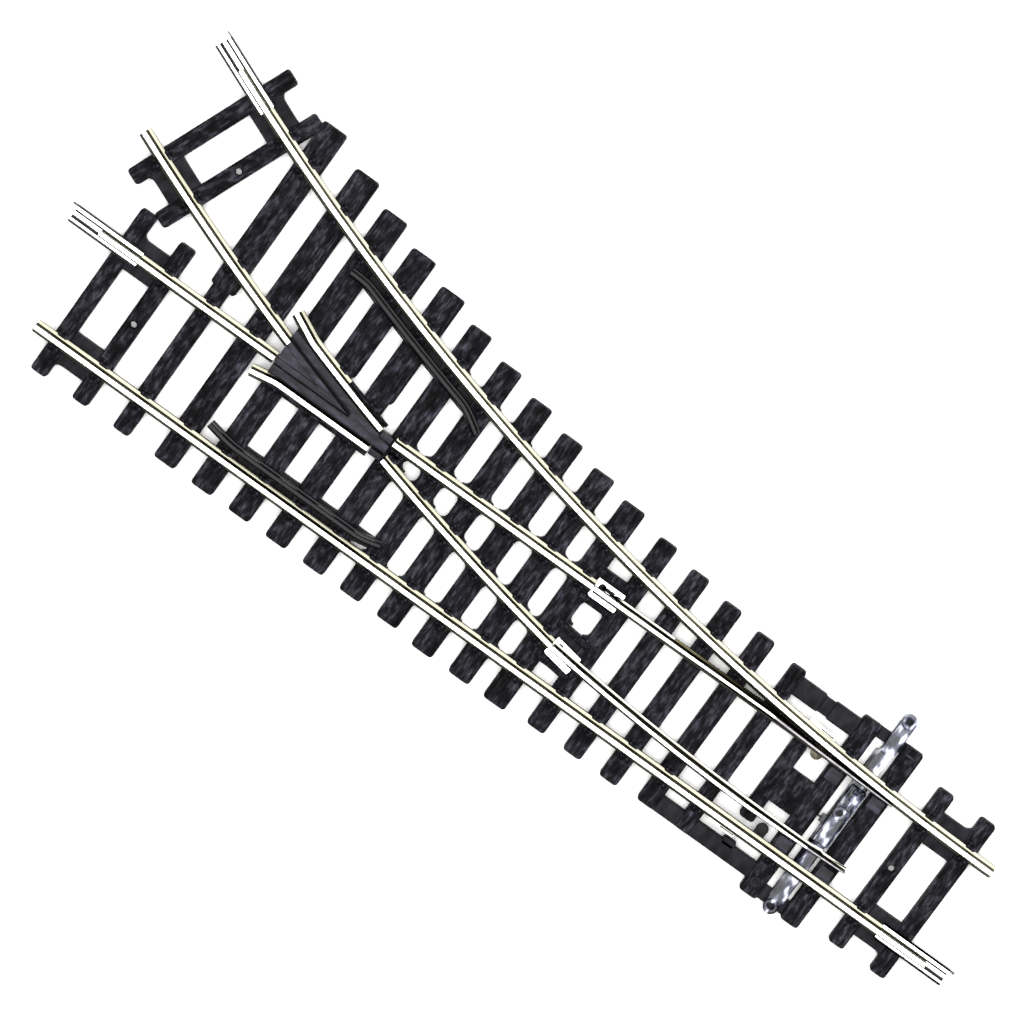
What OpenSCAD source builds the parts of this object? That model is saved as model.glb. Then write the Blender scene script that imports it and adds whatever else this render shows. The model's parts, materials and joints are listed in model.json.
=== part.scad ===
// Right-hand set-track turnout for 16.5 mm gauge model railways.
// X runs along the straight route from the toe joint, Y to the left of travel and Z up.
// The origin is on the track centre line at the toe joint, at the height of the baseboard.

/* [Track and rail] */
// Gap between the inner faces of the two rail heads of one track
track_gauge = 16.5; // [16.4:0.05:16.6]
// Height of the rail section
rail_h = 2.54; // [2.5:0.02:2.6]
// Width of the rail head
head_w = 1.0; // [0.9:0.05:1.0]
// Width of the foot of a fixed rail
foot_w = 2.1; // [2.0:0.05:2.1]
// Width of the foot of a moving blade
blade_foot_w = 1.8; // [1.7:0.05:1.8]
// Thickness of the rail web
web_t = 0.6; // [0.5:0.05:0.7]

/* [Route] */
// Radius of the diverging route's centre line
route_r = 438; // [436:1:440]
// Angle through which the diverging route turns
route_angle = 22.5; // [22.4:0.05:22.6]
// Gap from centre line to centre line between a running rail and its wing rail
flangeway_pitch = 2.9; // [2.8:0.05:2.95]
// Gap from centre line to centre line between a stock rail and its check rail
check_pitch = 2.6; // [2.5:0.05:2.9]

/* [Sleeper base] */
// Height of the sleepers
sleeper_h = 2.0; // [1.9:0.05:2.0]
// Half length of a plain sleeper
sleeper_half = 14.65; // [14.4:0.05:14.8]
// Width of a plain end sleeper
end_sleeper_w = 2.9; // [2.7:0.05:3.0]
// Width of a sleeper beside the tie bar and under the blades
blade_sleeper_w = 3.35; // [3.2:0.05:3.4]
// Width of a timber under the crossing
crossing_timber_w = 3.95; // [3.8:0.05:4.1]
// Height of the webs and links between sleepers
link_h = 1.7; // [1.6:0.05:1.8]
// Radius of a track pin hole
pin_hole_r = 0.45; // [0.4:0.05:0.5]

/* [Switch] */
// Distance of the tie bar's centre line from the toe joint
bar_x = 24.2; // [24.0:0.1:24.4]
// Travel of the tie bar from one stock rail to the other
throw_y = 3.3; // [3.1:0.1:3.3]
// Distance of the blade tips from the toe joint
tip_x = 18.6; // [18.4:0.1:19]
// Distance of the blade pivots from the toe joint
pivot_x = 74.2; // [74:0.1:74.2]
// Radius of the holes in the tie bar for a motor pin
motor_hole_r = 0.5; // [0.4:0.05:0.55]

/* [Hidden] */
$fn = 40;
arc_fn = 720;

// Colours
black_plastic = [0.13, 0.13, 0.15];
grey_plastic = [0.22, 0.22, 0.27];
bar_plastic = [0.36, 0.38, 0.46];
nickel = [0.80, 0.78, 0.70];
bright_steel = [0.86, 0.86, 0.84];
bronze = [0.72, 0.60, 0.38];
eps = 0.05;

// Track geometry
half_pitch = (track_gauge + head_w) / 2;
outer_r = route_r + half_pitch;
inner_r = route_r - half_pitch;
straight_len = route_r * sin(route_angle);
seat_z = sleeper_h + 0.05;
rail_top = seat_z + rail_h;

// Rail section, measured up from the foot
foot_edge_h = 0.30;
foot_root_h = 0.58;
head_side_h = 0.72;
head_root_h = 0.86;
head_chamfer = 0.14;

// Chair section
chair_half_w = 1.6;
chair_h = 0.62;
chair_len = 1.7;
chair_gap = 0.04;

// Sleeper positions along the straight route
toe_pitch = 7.8;
toe_x = [for (i = [0:1]) 4.9 + toe_pitch * i];
bar_sleeper_x = [for (i = [0:1]) 20.5 + toe_pitch * i];
blade_pitch = 6.85;
blade_x = [for (i = [0:5]) 35.35 + blade_pitch * i];
pivot_sleeper_x = 77.05;
crossing_pitch = 6.99;
crossing_x = [for (i = [0:8]) 83.72 + crossing_pitch * i];
splay_x = 147.8;
heel_pitch = 7.75;
heel_x = [for (i = [1:2]) splay_x + heel_pitch * i];
diverging_back = [12.65, 4.85];
corner_cut = 0.4;

// Frame of the diverging end
end_x = route_r * sin(route_angle);
end_y = route_r * (cos(route_angle) - 1);

// Crossing
crossing_start = 112.95;
crossing_end = 134.7;
plug_end = 115.1;
wing_start = 115.4;
wing_y = -half_pitch + flangeway_pitch;
wing_r = outer_r - flangeway_pitch;
floor_z = 3.3;
nose_top = rail_top - 0.06;

// Switch
blade_heel_x = 74.85;
closure_start = 75.25;
closure_end = 112.6;
bar_y = -2.4;
blade_arm = pivot_x - bar_x;
open_angle = asin(throw_y / blade_arm);
straight_pivot_y = -half_pitch;
curved_pivot_y = arc_y(pivot_x, outer_r);
pivot_bore_r = 0.43;
pivot_pin_r = 0.38;
lug_pin_r = 0.40;
plane_gap = 0.04;

// Tie bar heights
bar_z0 = 0.95;
bar_z1 = 1.75;

// ---------------------------------------------------------------- helpers

// Y of a rail of the diverging route at a distance x from the toe joint
function arc_y(x, r) = sqrt(r * r - x * x) - route_r;

// Angle turned by a rail of the diverging route at a distance x from the toe joint
function arc_angle(x, r) = asin(x / r);

function both_sides(p) = concat(p, [for (i = [len(p) - 1:-1:0]) [-p[i][0], p[i][1]]]);

function rail_side(foot) = [[foot / 2, 0], [foot / 2, foot_edge_h], [web_t / 2, foot_root_h],
    [web_t / 2, rail_h - head_root_h], [head_w / 2, rail_h - head_side_h],
    [head_w / 2, rail_h - head_chamfer], [head_w / 2 - head_chamfer, rail_h]];

module rail_section(foot = foot_w) polygon(both_sides(rail_side(foot)));

// A section drawn across the rail, swept straight along X
module sweep_x(x0, x1) translate([x0, 0, 0]) rotate([90, 0, 90]) linear_extrude(x1 - x0) children();

// A section drawn across the rail, swept along an arc of the diverging route
module sweep_arc(r, a0, a1) translate([0, -route_r, 0]) rotate([0, 0, 90 - a1])
    rotate_extrude(angle = a1 - a0, $fn = arc_fn) translate([r, 0]) children();

module straight_rail(x0, x1, y, foot = foot_w)
    translate([0, y, seat_z]) sweep_x(x0, x1) rail_section(foot);

module curved_rail(r, a0, a1, foot = foot_w)
    translate([0, 0, seat_z]) sweep_arc(r, a0, a1) rail_section(foot);

// Moves children from the frame of the diverging end, where X points out along the track
module at_diverging_end() translate([end_x, end_y, 0]) rotate([0, 0, -route_angle]) children();

// Plan outline of a sleeper with its corners cut
module sleeper_plan(x, w, y0, y1, c = corner_cut) polygon([
    [x - w / 2 + c, y0], [x + w / 2 - c, y0], [x + w / 2, y0 + c], [x + w / 2, y1 - c],
    [x + w / 2 - c, y1], [x - w / 2 + c, y1], [x - w / 2, y1 - c], [x - w / 2, y0 + c]]);

module sleeper(x, w, y0, y1, h = sleeper_h) linear_extrude(h) sleeper_plan(x, w, y0, y1);

module block(x0, x1, y0, y1, z0, z1) translate([x0, y0, z0]) cube([x1 - x0, y1 - y0, z1 - z0]);

// Far end of a sleeper that carries the curved stock rail
function long_end(x) = arc_y(x, inner_r) - 6.05 - 0.000066 * x * x;

// Chair section: a seat with a claw that holds each edge of the rail foot
function claw() = [[foot_w / 2 + chair_gap, 0], [foot_w / 2 + chair_gap, foot_edge_h + chair_gap],
    [foot_w / 2 - 0.2, foot_edge_h + 0.12], [foot_w / 2 - 0.2, chair_h], [1.3, chair_h],
    [chair_half_w, 0.25], [chair_half_w, -0.1]];
// Section of the cover that hides the foot of a wing rail as far as its head
function cover() = [[foot_w / 2 + chair_gap, -0.1], [foot_w / 2 + chair_gap, foot_edge_h + chair_gap],
    [head_w / 2 + chair_gap, foot_root_h - 0.02], [head_w / 2 + chair_gap, chair_h], [1.1, chair_h],
    [1.5, 0.25], [1.5, -0.1]];
function no_claw() = [[foot_w / 2, 0], [foot_w / 2, -0.1]];
function flip(p) = [for (i = [len(p) - 1:-1:0]) [-p[i][0], p[i][1]]];

// side 0 has both claws, 1 only the one on the left of travel and -1 only the one on the right
module chair_section(side) polygon(concat(
    side < 0 ? no_claw() : claw(),
    flip(side > 0 ? no_claw() : claw())));

module chair(x, y, angle, side = 0) translate([x, y, seat_z]) rotate([0, 0, -angle])
    translate([-chair_len / 2, 0, 0]) rotate([90, 0, 90]) linear_extrude(chair_len) chair_section(side);

module arc_chair(x, r, side = 0) chair(x, arc_y(x, r), arc_angle(x, r), side);

// Chair on a rail of the diverging route, a distance back from its end
module end_chair(back, r) {
    a = route_angle - back / route_r * 180 / PI;
    chair(r * sin(a), r * cos(a) - route_r, a);
}

// Two end sleepers joined by webs under the rails, in a frame whose X points out of the track
module end_block(near, far, y0, y1) {
    sleeper(near, end_sleeper_w, y0, y1);
    sleeper(far, end_sleeper_w, -sleeper_half, y1);
    for (side = [-1, 1]) end_web(near, far, side);
}

module end_web(near, far, side) {
    inside = far < near ? near - end_sleeper_w / 2 : near + end_sleeper_w / 2;
    fillet = 1.2;
    y_in = 6.0;
    y_out = 11.7;
    linear_extrude(link_h) {
        polygon([[far, side * y_in], [near, side * y_in], [near, side * y_out], [far, side * y_out]]);
        polygon([[inside, side * (y_out + fillet)], [inside, side * y_out],
            [inside + sign(far - near) * fillet, side * y_out]]);
    }
}

// ---------------------------------------------------------------- moulded base

module base_sleepers() {
    end_block(toe_x[0], toe_x[1], -sleeper_half, sleeper_half);
    end_block(heel_x[1], heel_x[0], -15.5, sleeper_half);
    at_diverging_end() end_block(-diverging_back[1], -diverging_back[0], -14.8, 14.35);
    for (x = bar_sleeper_x) sleeper(x, blade_sleeper_w, -17.05, 16.2);
    sleeper(blade_x[0], 2.7, -7.8, 6.85);
    sleeper(blade_x[1], 2.7, long_end(blade_x[1]), 14.15);
    sleeper(blade_x[2], blade_sleeper_w, long_end(blade_x[2]), 14.15);
    for (i = [3:5]) sleeper(blade_x[i], blade_sleeper_w, long_end(blade_x[i]), 14.55);
    sleeper(pivot_sleeper_x, 4.1, long_end(pivot_sleeper_x), 15.15);
    for (i = [0:8])
        sleeper(crossing_x[i], crossing_timber_w, long_end(crossing_x[i]), i < 2 ? 15.15 : 14.6);
    for (i = [5:8]) sleeper(crossing_x[i] - 0.2, crossing_timber_w + 0.5, long_end(crossing_x[i]), -13);
    sleeper(splay_x, 3.05, -20, sleeper_half);
    sleeper(splay_x - 0.15, 4.45, long_end(splay_x), -12.4);
}

// Thin stringers that join the sleepers under the stock rails
stringer_h = 0.8;
stringer_w = 1.6;
module base_stringers() {
    block(toe_x[1], heel_x[0], half_pitch - stringer_w / 2, half_pitch + stringer_w / 2, 0, stringer_h);
    sweep_arc(inner_r, arc_angle(toe_x[1], inner_r), route_angle - 2)
        translate([-stringer_w / 2, 0]) square([stringer_w, stringer_h]);
}

// Links around the tie bar, the outer stringers and the spring housing
module base_switch_links() {
    block(20.5, 28.3, 13.4, 15.9, 0, stringer_h);
    block(20.5, 28.3, -17.0, -15.1, 0, stringer_h);
    block(28.3, 50, 11.4, 14.15, 0, link_h);
    block(34.3, 36.4, 10.8, 12, 0, link_h);
    block(28.3, 42.2, -16.05, -12.9, 0, link_h);
    block(28.3, 35.35, -3.7, 2.4, 0, sleeper_h);
    translate([28.35, 13.85, 0]) cylinder(r = 0.9, h = sleeper_h + 0.25);
    for (y = [6.6, -6.5]) block(27.0, 29.6, y - 1.0, y + 1.0, 0, sleeper_h + 0.03);
}

// Floors and ribs that hold the pivot joiners
module base_pivot_cradles() {
    block(69.5, 77, -11.9, -6.2, 0, 1.35);
    block(69.5, 77, -0.9, 5.7, 0, 1.35);
    for (y = [-11.95, -7.0]) block(70.2, 76, y, y + 1.1, 0, 2.5);
    for (y = [4.8, -1.0]) translate([70.2, y + 0.45, 0]) rotate([0, 0, -6])
        cube([5.9, 1.1, 2.5]);
}

// Floors that close the flangeways beside the check rails, between the timbers
module base_check_floors() {
    floor_h = 1.5;
    linear_extrude(floor_h) polygon([[104.7, 5.1], [134.6, 5.1], [134.6, half_pitch],
        [109.4, half_pitch], [109.4, 7.5], [106.7, 7.0], [104.7, 7.0]]);
    sweep_arc(inner_r, arc_angle(104.7, inner_r), arc_angle(132.2, inner_r))
        square([check_pitch + 1.05, floor_h]);
}

// Covers along the outer sides of the wing rails
module base_wing_covers() {
    translate([0, wing_y, seat_z]) sweep_x(115.6, 132.2) polygon(cover());
    translate([0, 0, seat_z]) sweep_arc(wing_r, arc_angle(115.6, wing_r), arc_angle(123.6, wing_r))
        polygon(flip(cover()));
}

module base_chairs() {
    for (x = concat([toe_x[1]], [bar_sleeper_x[0], bar_sleeper_x[1], blade_x[1]]))
        chair(x, half_pitch, 0, x < 14 ? 0 : 1);
    for (x = concat([for (i = [2:5]) blade_x[i]], [pivot_sleeper_x], crossing_x, [splay_x], heel_x))
        chair(x, half_pitch, 0);
    for (x = toe_x) arc_chair(x, inner_r);
    for (x = [bar_sleeper_x[0], bar_sleeper_x[1], blade_x[1]]) arc_chair(x, inner_r, -1);
    for (x = concat([for (i = [2:5]) blade_x[i]], [pivot_sleeper_x], crossing_x, [splay_x]))
        arc_chair(x, inner_r);
    for (x = concat([pivot_sleeper_x], [for (i = [0:4]) crossing_x[i]])) {
        chair(x, -half_pitch, 0);
        arc_chair(x, outer_r);
    }
    for (i = [5:7]) {
        chair(crossing_x[i], wing_y, 0, 1);
        if (i < 7) arc_chair(crossing_x[i], wing_r, -1);
    }
    for (x = [crossing_x[8], splay_x]) {
        chair(x, -half_pitch, 0);
        arc_chair(x, outer_r);
    }
    chair(heel_x[0], -half_pitch, 0);
    end_chair(diverging_back[0], outer_r);
    end_chair(diverging_back[0], inner_r);
    end_chair(diverging_back[1], outer_r);
}

// Recesses under the rail joiners, where the rail ends rest on the joiner's plate
joiner_w = 2.9;
joiner_floor = 1.84;
joiner_len = 13.3;
module base_joiner_recesses() {
    block(-1, 9.2, half_pitch - 1.55, half_pitch + 1.55, joiner_floor, 4);
    block(straight_len - 7.8, straight_len + 1, -half_pitch - 1.55, -half_pitch + 1.55, joiner_floor, 4);
    at_diverging_end() block(-7.9, 2, -half_pitch - 1.6, -half_pitch + 1.55, joiner_floor, 4);
}

// Pocket under the housing, open below, in which the spring swings
module base_spring_pocket() translate([0, 0, -1]) linear_extrude(2.6) polygon([
    [26, -1.6], [29, -2.0], [33.6, -1.4], [33.6, 2.0], [29, 3.9], [26, 4.6]]);

// Slots for the two jumper straps, open below
module base_jumper_slots() {
    slot_w = 1.6;
    block(109, 141, -half_pitch - slot_w / 2, -half_pitch + slot_w / 2, -1, 1.5);
    curved_strap_frame() block(-1.6, strap_b_len + 1.6, -slot_w / 2, slot_w / 2, -1, 0.8);
    for (x = strap_tabs_x) {
        block(x - 0.4, x + 0.4, -half_pitch - slot_w / 2, -half_pitch + slot_w / 2, 0.5, 3);
        translate([x, arc_y(x, outer_r), 0.5]) rotate([0, 0, -arc_angle(x, outer_r)])
            translate([-0.4, -slot_w / 2, 0]) cube([0.8, slot_w, 3]);
    }
}

module base_pin_holes() {
    translate([toe_x[1], 0, -1]) cylinder(r = pin_hole_r, h = 4);
    translate([heel_x[0], 0, -1]) cylinder(r = pin_hole_r, h = 4);
    at_diverging_end() translate([-diverging_back[0], 0, -1]) cylinder(r = pin_hole_r, h = 4);
}

module base_pivot_recesses() {
    for (p = [[straight_pivot_y, 0], [curved_pivot_y, arc_angle(pivot_x, outer_r)]])
        translate([pivot_x, p[0], 0]) rotate([0, 0, -p[1]]) {
            translate([-4.2, -1.75, 1.78]) cube([5.5, 3.5, 3]);
            translate([0, 0, 1.2]) cylinder(r = 0.85, h = 2);
        }
}

module sleeper_base() color(black_plastic) difference() {
    union() {
        base_sleepers();
        base_stringers();
        base_switch_links();
        base_pivot_cradles();
        base_check_floors();
        base_wing_covers();
        base_chairs();
    }
    base_joiner_recesses();
    base_spring_pocket();
    base_jumper_slots();
    base_pin_holes();
    base_pivot_recesses();
}

// ---------------------------------------------------------------- fixed rails

module straight_stock_rail() color(nickel) straight_rail(0, straight_len, half_pitch);

module curved_stock_rail() color(nickel) curved_rail(inner_r, 0, route_angle);

module straight_closure_rail() color(nickel) straight_rail(closure_start, closure_end, -half_pitch);

module curved_closure_rail() color(nickel)
    curved_rail(outer_r, arc_angle(closure_start, outer_r), arc_angle(closure_end, outer_r));

flare_len = 4.8;
flare_start = 132.3;
module straight_wing_rail() color(nickel) {
    straight_rail(wing_start, flare_start, wing_y);
    translate([flare_start - 0.1, wing_y, seat_z]) rotate([0, 0, 10]) sweep_x(0, flare_len) rail_section();
}

module curved_wing_rail() color(nickel) {
    a1 = arc_angle(131.2, wing_r);
    curved_rail(wing_r, arc_angle(wing_start, wing_r), a1);
    translate([wing_r * sin(a1), wing_r * cos(a1) - route_r, seat_z]) rotate([0, 0, -a1 - 9])
        sweep_x(-0.1, flare_len + 0.9) rail_section();
}

vee_start = 134.95;
curved_vee_start = 134.5;
module straight_vee_rail() color(nickel) straight_rail(vee_start, straight_len, -half_pitch);

module curved_vee_rail() color(nickel)
    curved_rail(outer_r, arc_angle(curved_vee_start, outer_r), route_angle);

// ---------------------------------------------------------------- crossing insert

// Region outside an arc of the diverging route, between two heights
module outside_arc(r, z0, z1) difference() {
    block(crossing_start, crossing_end, -18, -4.6, z0, z1);
    translate([0, -route_r, z0 - 1]) cylinder(r = r, h = z1 - z0 + 2, $fn = arc_fn);
}

module crossing_floor() {
    side_gap = chair_gap;
    foot_gap = foot_w / 2 + side_gap;
    head_gap = head_w / 2 + side_gap;
    foot_top = seat_z + foot_root_h + 0.1;
    difference() {
        outside_arc(wing_r + foot_gap, sleeper_h, foot_top + eps);
        block(wing_start - 0.1, 140, wing_y - foot_gap, 0, 0, 9);
    }
    difference() {
        outside_arc(wing_r + head_gap, foot_top, floor_z);
        block(wing_start - 0.1, 140, wing_y - head_gap, 0, 0, 9);
    }
}

// Raised point of the crossing, between the two gauge faces
module crossing_nose() difference() {
    intersection() {
        outside_arc(outer_r - head_w / 2, floor_z - eps, nose_top);
        block(crossing_start, crossing_end, -18, -half_pitch + head_w / 2, 0, 9);
    }
    intersection() {
        outside_arc(outer_r + head_w / 2, nose_top - 0.6, nose_top + 1);
        block(crossing_start, crossing_end + 1, -18, -half_pitch - head_w / 2, 0, 9);
    }
}

// Square end where the curved vee rail butts against the insert
module crossing_end_notch() translate([curved_vee_start, arc_y(curved_vee_start, outer_r), sleeper_h - 1])
    rotate([0, 0, -arc_angle(curved_vee_start, outer_r)]) translate([-0.06, -4, 0]) cube([4, 5.6, 5]);

module crossing_insert() color(grey_plastic) {
    difference() {
        union() {
            crossing_floor();
            crossing_nose();
        }
        crossing_end_notch();
    }
    // plugs that carry the running surface from the closure rails to the wing rails
    block(crossing_start, plug_end, wing_y - 0.55, wing_y + 0.5, sleeper_h, rail_top - 0.1);
    block(crossing_start, plug_end, -half_pitch - 0.75, -half_pitch + 0.4, sleeper_h, rail_top - 0.1);
}

// ---------------------------------------------------------------- check rails

check_w = 1.0;
check_top = 4.35;
check_foot_w = 1.5;

module straight_check_plan(w, x0, x1) {
    y = half_pitch - check_pitch;
    drop = 0.85;
    polygon([[x0, y - drop - w / 2], [x0 + 3.8, y - w / 2], [x1 - 5.2, y - w / 2], [x1, y - drop - w / 2],
        [x1, y - drop + w / 2], [x1 - 5.2, y + w / 2], [x0 + 3.8, y + w / 2], [x0, y - drop + w / 2]]);
}

module straight_check_rail() color(black_plastic) translate([0, 0, sleeper_h]) {
    linear_extrude(0.6) straight_check_plan(check_foot_w, 105.4, 136.8);
    linear_extrude(check_top - sleeper_h) straight_check_plan(check_w, 105.2, 137.2);
}

// Centre line of the curved check rail: an arc with both ends drawn back from the stock rail
check_r = inner_r + check_pitch;
function check_offset(x) = x < 107.5 ? 1.35 * (107.5 - x) / 4.2 : x > 129.5 ? 0.9 * (x - 129.5) / 3.6 : 0;
function check_point(x, side) = [x + side * sin(arc_angle(x, check_r)),
    arc_y(x, check_r) + check_offset(x) + side * cos(arc_angle(x, check_r))];

module curved_check_plan(w, x0, x1) {
    steps = [x0, 107.5, 111, 114.5, 118, 121.5, 125, 129.5, x1];
    polygon(concat([for (x = steps) check_point(x, -w / 2)],
        [for (i = [len(steps) - 1:-1:0]) check_point(steps[i], w / 2)]));
}

module curved_check_rail() color(black_plastic) translate([0, 0, sleeper_h]) {
    linear_extrude(0.6) curved_check_plan(check_foot_w, 103.5, 132.9);
    linear_extrude(check_top - sleeper_h) curved_check_plan(check_w, 103.3, 133.1);
}

// ---------------------------------------------------------------- switch blades

// Half a rail section's reach that a blade must stay clear of, as an L seen along the rail
module stock_clearance_section() {
    reach = 4;
    polygon([[-reach, -1], [foot_w / 2 + plane_gap, -1], [foot_w / 2 + plane_gap, foot_root_h + 0.1],
        [head_w / 2 + plane_gap, foot_root_h + 0.1], [head_w / 2 + plane_gap, rail_h + 1],
        [-reach, rail_h + 1]]);
}

module pivot_bore() cylinder(r = pivot_bore_r, h = seat_z + 0.95);

module straight_switch_blade() color(nickel) difference() {
    straight_rail(tip_x, blade_heel_x, -half_pitch, blade_foot_w);
    translate([0, 0, seat_z]) sweep_arc(inner_r, 0, arc_angle(50, inner_r)) stock_clearance_section();
    translate([pivot_x, straight_pivot_y, 0]) pivot_bore();
}

module curved_blade_closed() difference() {
    curved_rail(outer_r, arc_angle(tip_x, outer_r), arc_angle(blade_heel_x, outer_r), blade_foot_w);
    translate([0, half_pitch, seat_z]) sweep_x(0, 50) mirror([1, 0]) stock_clearance_section();
    translate([pivot_x, curved_pivot_y, 0]) pivot_bore();
}

// Turns the curved blade's pieces from the closed to the open position
module open_curved_blade() translate([pivot_x, curved_pivot_y, 0]) rotate([0, 0, open_angle])
    translate([-pivot_x, -curved_pivot_y, 0]) children();

module curved_switch_blade() color(nickel) open_curved_blade() curved_blade_closed();

// Tab under the blade's foot with a pin that sits in the tie bar's slot
module blade_lug(y, side) {
    block(bar_x - 1.1, bar_x + 1.1, y - (side > 0 ? 0.2 : 0.7), y + (side > 0 ? 0.7 : 0.2), 1.8, seat_z);
    translate([bar_x, y, bar_z0 + 0.1]) cylinder(r = lug_pin_r, h = 1.0);
}

module straight_blade_lug() color(bright_steel) blade_lug(-half_pitch + 0.25, 1);

module curved_blade_lug() color(bright_steel) open_curved_blade()
    blade_lug(arc_y(bar_x, outer_r) - 0.25, -1);

// ---------------------------------------------------------------- tie bar and spring

bar_w = 2.8;
bar_top_eye = 15.6;
bar_low_eye = -20.0;
bar_low_x = bar_x - 0.4;
eye_r = 1.25;
function lug_y(side) = side > 0
    ? curved_pivot_y + sin(open_angle) * (bar_x - pivot_x)
        + cos(open_angle) * (arc_y(bar_x, outer_r) - 0.25 - curved_pivot_y)
    : -half_pitch + 0.25;
function lug_x(side) = side > 0
    ? pivot_x + cos(open_angle) * (bar_x - pivot_x)
        - sin(open_angle) * (arc_y(bar_x, outer_r) - 0.25 - curved_pivot_y)
    : bar_x;

module tie_bar() color(bar_plastic) difference() {
    union() {
        block(bar_x - bar_w / 2, bar_x + bar_w / 2, -13.9, 14.2, bar_z0, bar_z1);
        block(bar_low_x - 1.25, bar_low_x + 1.25, bar_low_eye, -13, bar_z0, bar_z1);
        block(bar_x - 1.25, bar_x + 1.25, 14, bar_top_eye, bar_z0, bar_z1);
        for (p = [[bar_x, bar_top_eye], [bar_low_x, bar_low_eye]])
            translate([p[0], p[1], bar_z0]) cylinder(r = eye_r, h = 1.25);
        block(bar_x - 1.65, bar_x + 1.05, -7.2, 3.3, bar_z0, 2.45);
        translate([bar_x, bar_y, bar_z0]) cylinder(r = 1.15, h = 1.75);
        block(bar_x - 1.2, bar_x + 1.2, -13.7, -11.6, bar_z1 - eps, 1.95);
        block(bar_x + 1.3, bar_x + 2.0, -0.9, 0.5, bar_z0 + 0.1, bar_z1);
    }
    for (p = [[bar_x, bar_top_eye], [bar_low_x, bar_low_eye], [bar_x, bar_y]])
        translate([p[0], p[1], 0]) cylinder(r = motor_hole_r, h = 4);
    // slots that let each lug's pin follow its arc
    translate([lug_x(-1), lug_y(-1), 0]) slot_along_x(0.9);
    translate([(lug_x(1) + bar_x) / 2, lug_y(1), 0]) slot_along_x(1.0);
    // pocket for the end of the spring
    block(bar_x + 0.9, bar_x + 3, spring_y - 0.25, spring_y + 0.25, spring_z - 0.25, 1.9);
}

module slot_along_x(half_len) block(-half_len, half_len, -lug_pin_r - 0.05, lug_pin_r + 0.05, 0, 3);

spring_y = -0.2;
spring_z = 1.3;
spring_r = 0.17;
// Omega spring: from the tie bar's pocket, round a bow and back to its anchor in the housing
spring_route = [[25.35, -0.2], [26.4, -0.15], [27.6, 0.0], [28.6, 0.35], [29.2, 1.0], [29.6, 1.8],
    [30.3, 2.25], [31.1, 2.0], [31.4, 1.2], [31.2, 0.4], [30.9, -0.4], [31.3, -1.0], [32.0, -1.05],
    [32.7, -0.6], [33.2, 0.1]];

// Round tube swept along points in the plane z
module wire(points, r, z) {
    sides = 10;
    count = len(points);
    function along(i) = let (a = points[max(i - 1, 0)], b = points[min(i + 1, count - 1)])
        (b - a) / norm(b - a);
    rings = [for (i = [0:count - 1]) for (k = [0:sides - 1])
        let (d = along(i), c = r * cos(360 * k / sides), s = r * sin(360 * k / sides))
        [points[i][0] - d[1] * c, points[i][1] + d[0] * c, z + s]];
    walls = [for (i = [0:count - 2]) for (k = [0:sides - 1])
        let (n = (k + 1) % sides)
        [i * sides + k, i * sides + n, (i + 1) * sides + n, (i + 1) * sides + k]];
    polyhedron(points = rings, faces = concat([[for (k = [sides - 1:-1:0]) k]], walls,
        [[for (k = [0:sides - 1]) (count - 1) * sides + k]]));
}

module over_centre_spring() color(bronze) wire(spring_route, spring_r, spring_z);

// ---------------------------------------------------------------- blade pivots

joiner_plate_z = 1.80;
module pivot_joiner() difference() {
    union() {
        translate([-4.0, -1.65, joiner_plate_z]) cube([5.0, 3.3, 0.2]);
        for (side = [-1, 1]) translate([-3.9, side * 1.5 - 0.1, joiner_plate_z]) cube([4.7, 0.2, 0.65]);
    }
    translate([0, 0, 1]) cylinder(r = pivot_pin_r, h = 2);
}

module pivot_pin() {
    translate([0, 0, 1.4]) cylinder(r = 0.7, h = joiner_plate_z - 1.4);
    translate([0, 0, 1.5]) cylinder(r = pivot_pin_r, h = seat_z + 0.9 - 1.5);
}

module at_straight_pivot() translate([pivot_x, straight_pivot_y, 0]) children();
module at_curved_pivot() translate([pivot_x, curved_pivot_y, 0])
    rotate([0, 0, -arc_angle(pivot_x, outer_r)]) children();

module straight_pivot_joiner() color(bright_steel) at_straight_pivot() pivot_joiner();
module curved_pivot_joiner() color(bright_steel) at_curved_pivot() pivot_joiner();
module straight_pivot_pin() color(bright_steel) at_straight_pivot() pivot_pin();
module curved_pivot_pin() color(bright_steel) at_curved_pivot() pivot_pin();

// ---------------------------------------------------------------- rail joiners

joiner_t = 0.17;
module joiner_section() polygon(concat(
    [[-joiner_w / 2, joiner_floor + 0.02 - seat_z], [joiner_w / 2, joiner_floor + 0.02 - seat_z]],
    joiner_side(),
    flip(joiner_side())));
function joiner_side() = [[joiner_w / 2, 0.42], [web_t / 2 + 0.32, 0.86], [web_t / 2 + 0.16, 0.76],
    [foot_w / 2 + 0.05, 0.35], [foot_w / 2 + 0.05, 0]];

module rail_joiner(x0, x1, y) translate([0, y, seat_z]) sweep_x(x0, x1) joiner_section();

module toe_rail_joiner() color(bright_steel) rail_joiner(-4.7, joiner_len - 4.7, half_pitch);
module heel_rail_joiner() color(bright_steel)
    rail_joiner(straight_len - joiner_len + 6.1, straight_len + 6.1, -half_pitch);

// The diverging joiner follows the end tangent of the curved stock rail
module diverging_rail_joiner() color(bright_steel) {
    back = joiner_len - 6.1;
    translate([0, 0, seat_z]) sweep_arc(inner_r, route_angle - back / inner_r * 180 / PI, route_angle)
        joiner_section();
    at_diverging_end() rail_joiner(-0.05, 6.1, -half_pitch);
}

// ---------------------------------------------------------------- contacts

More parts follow.
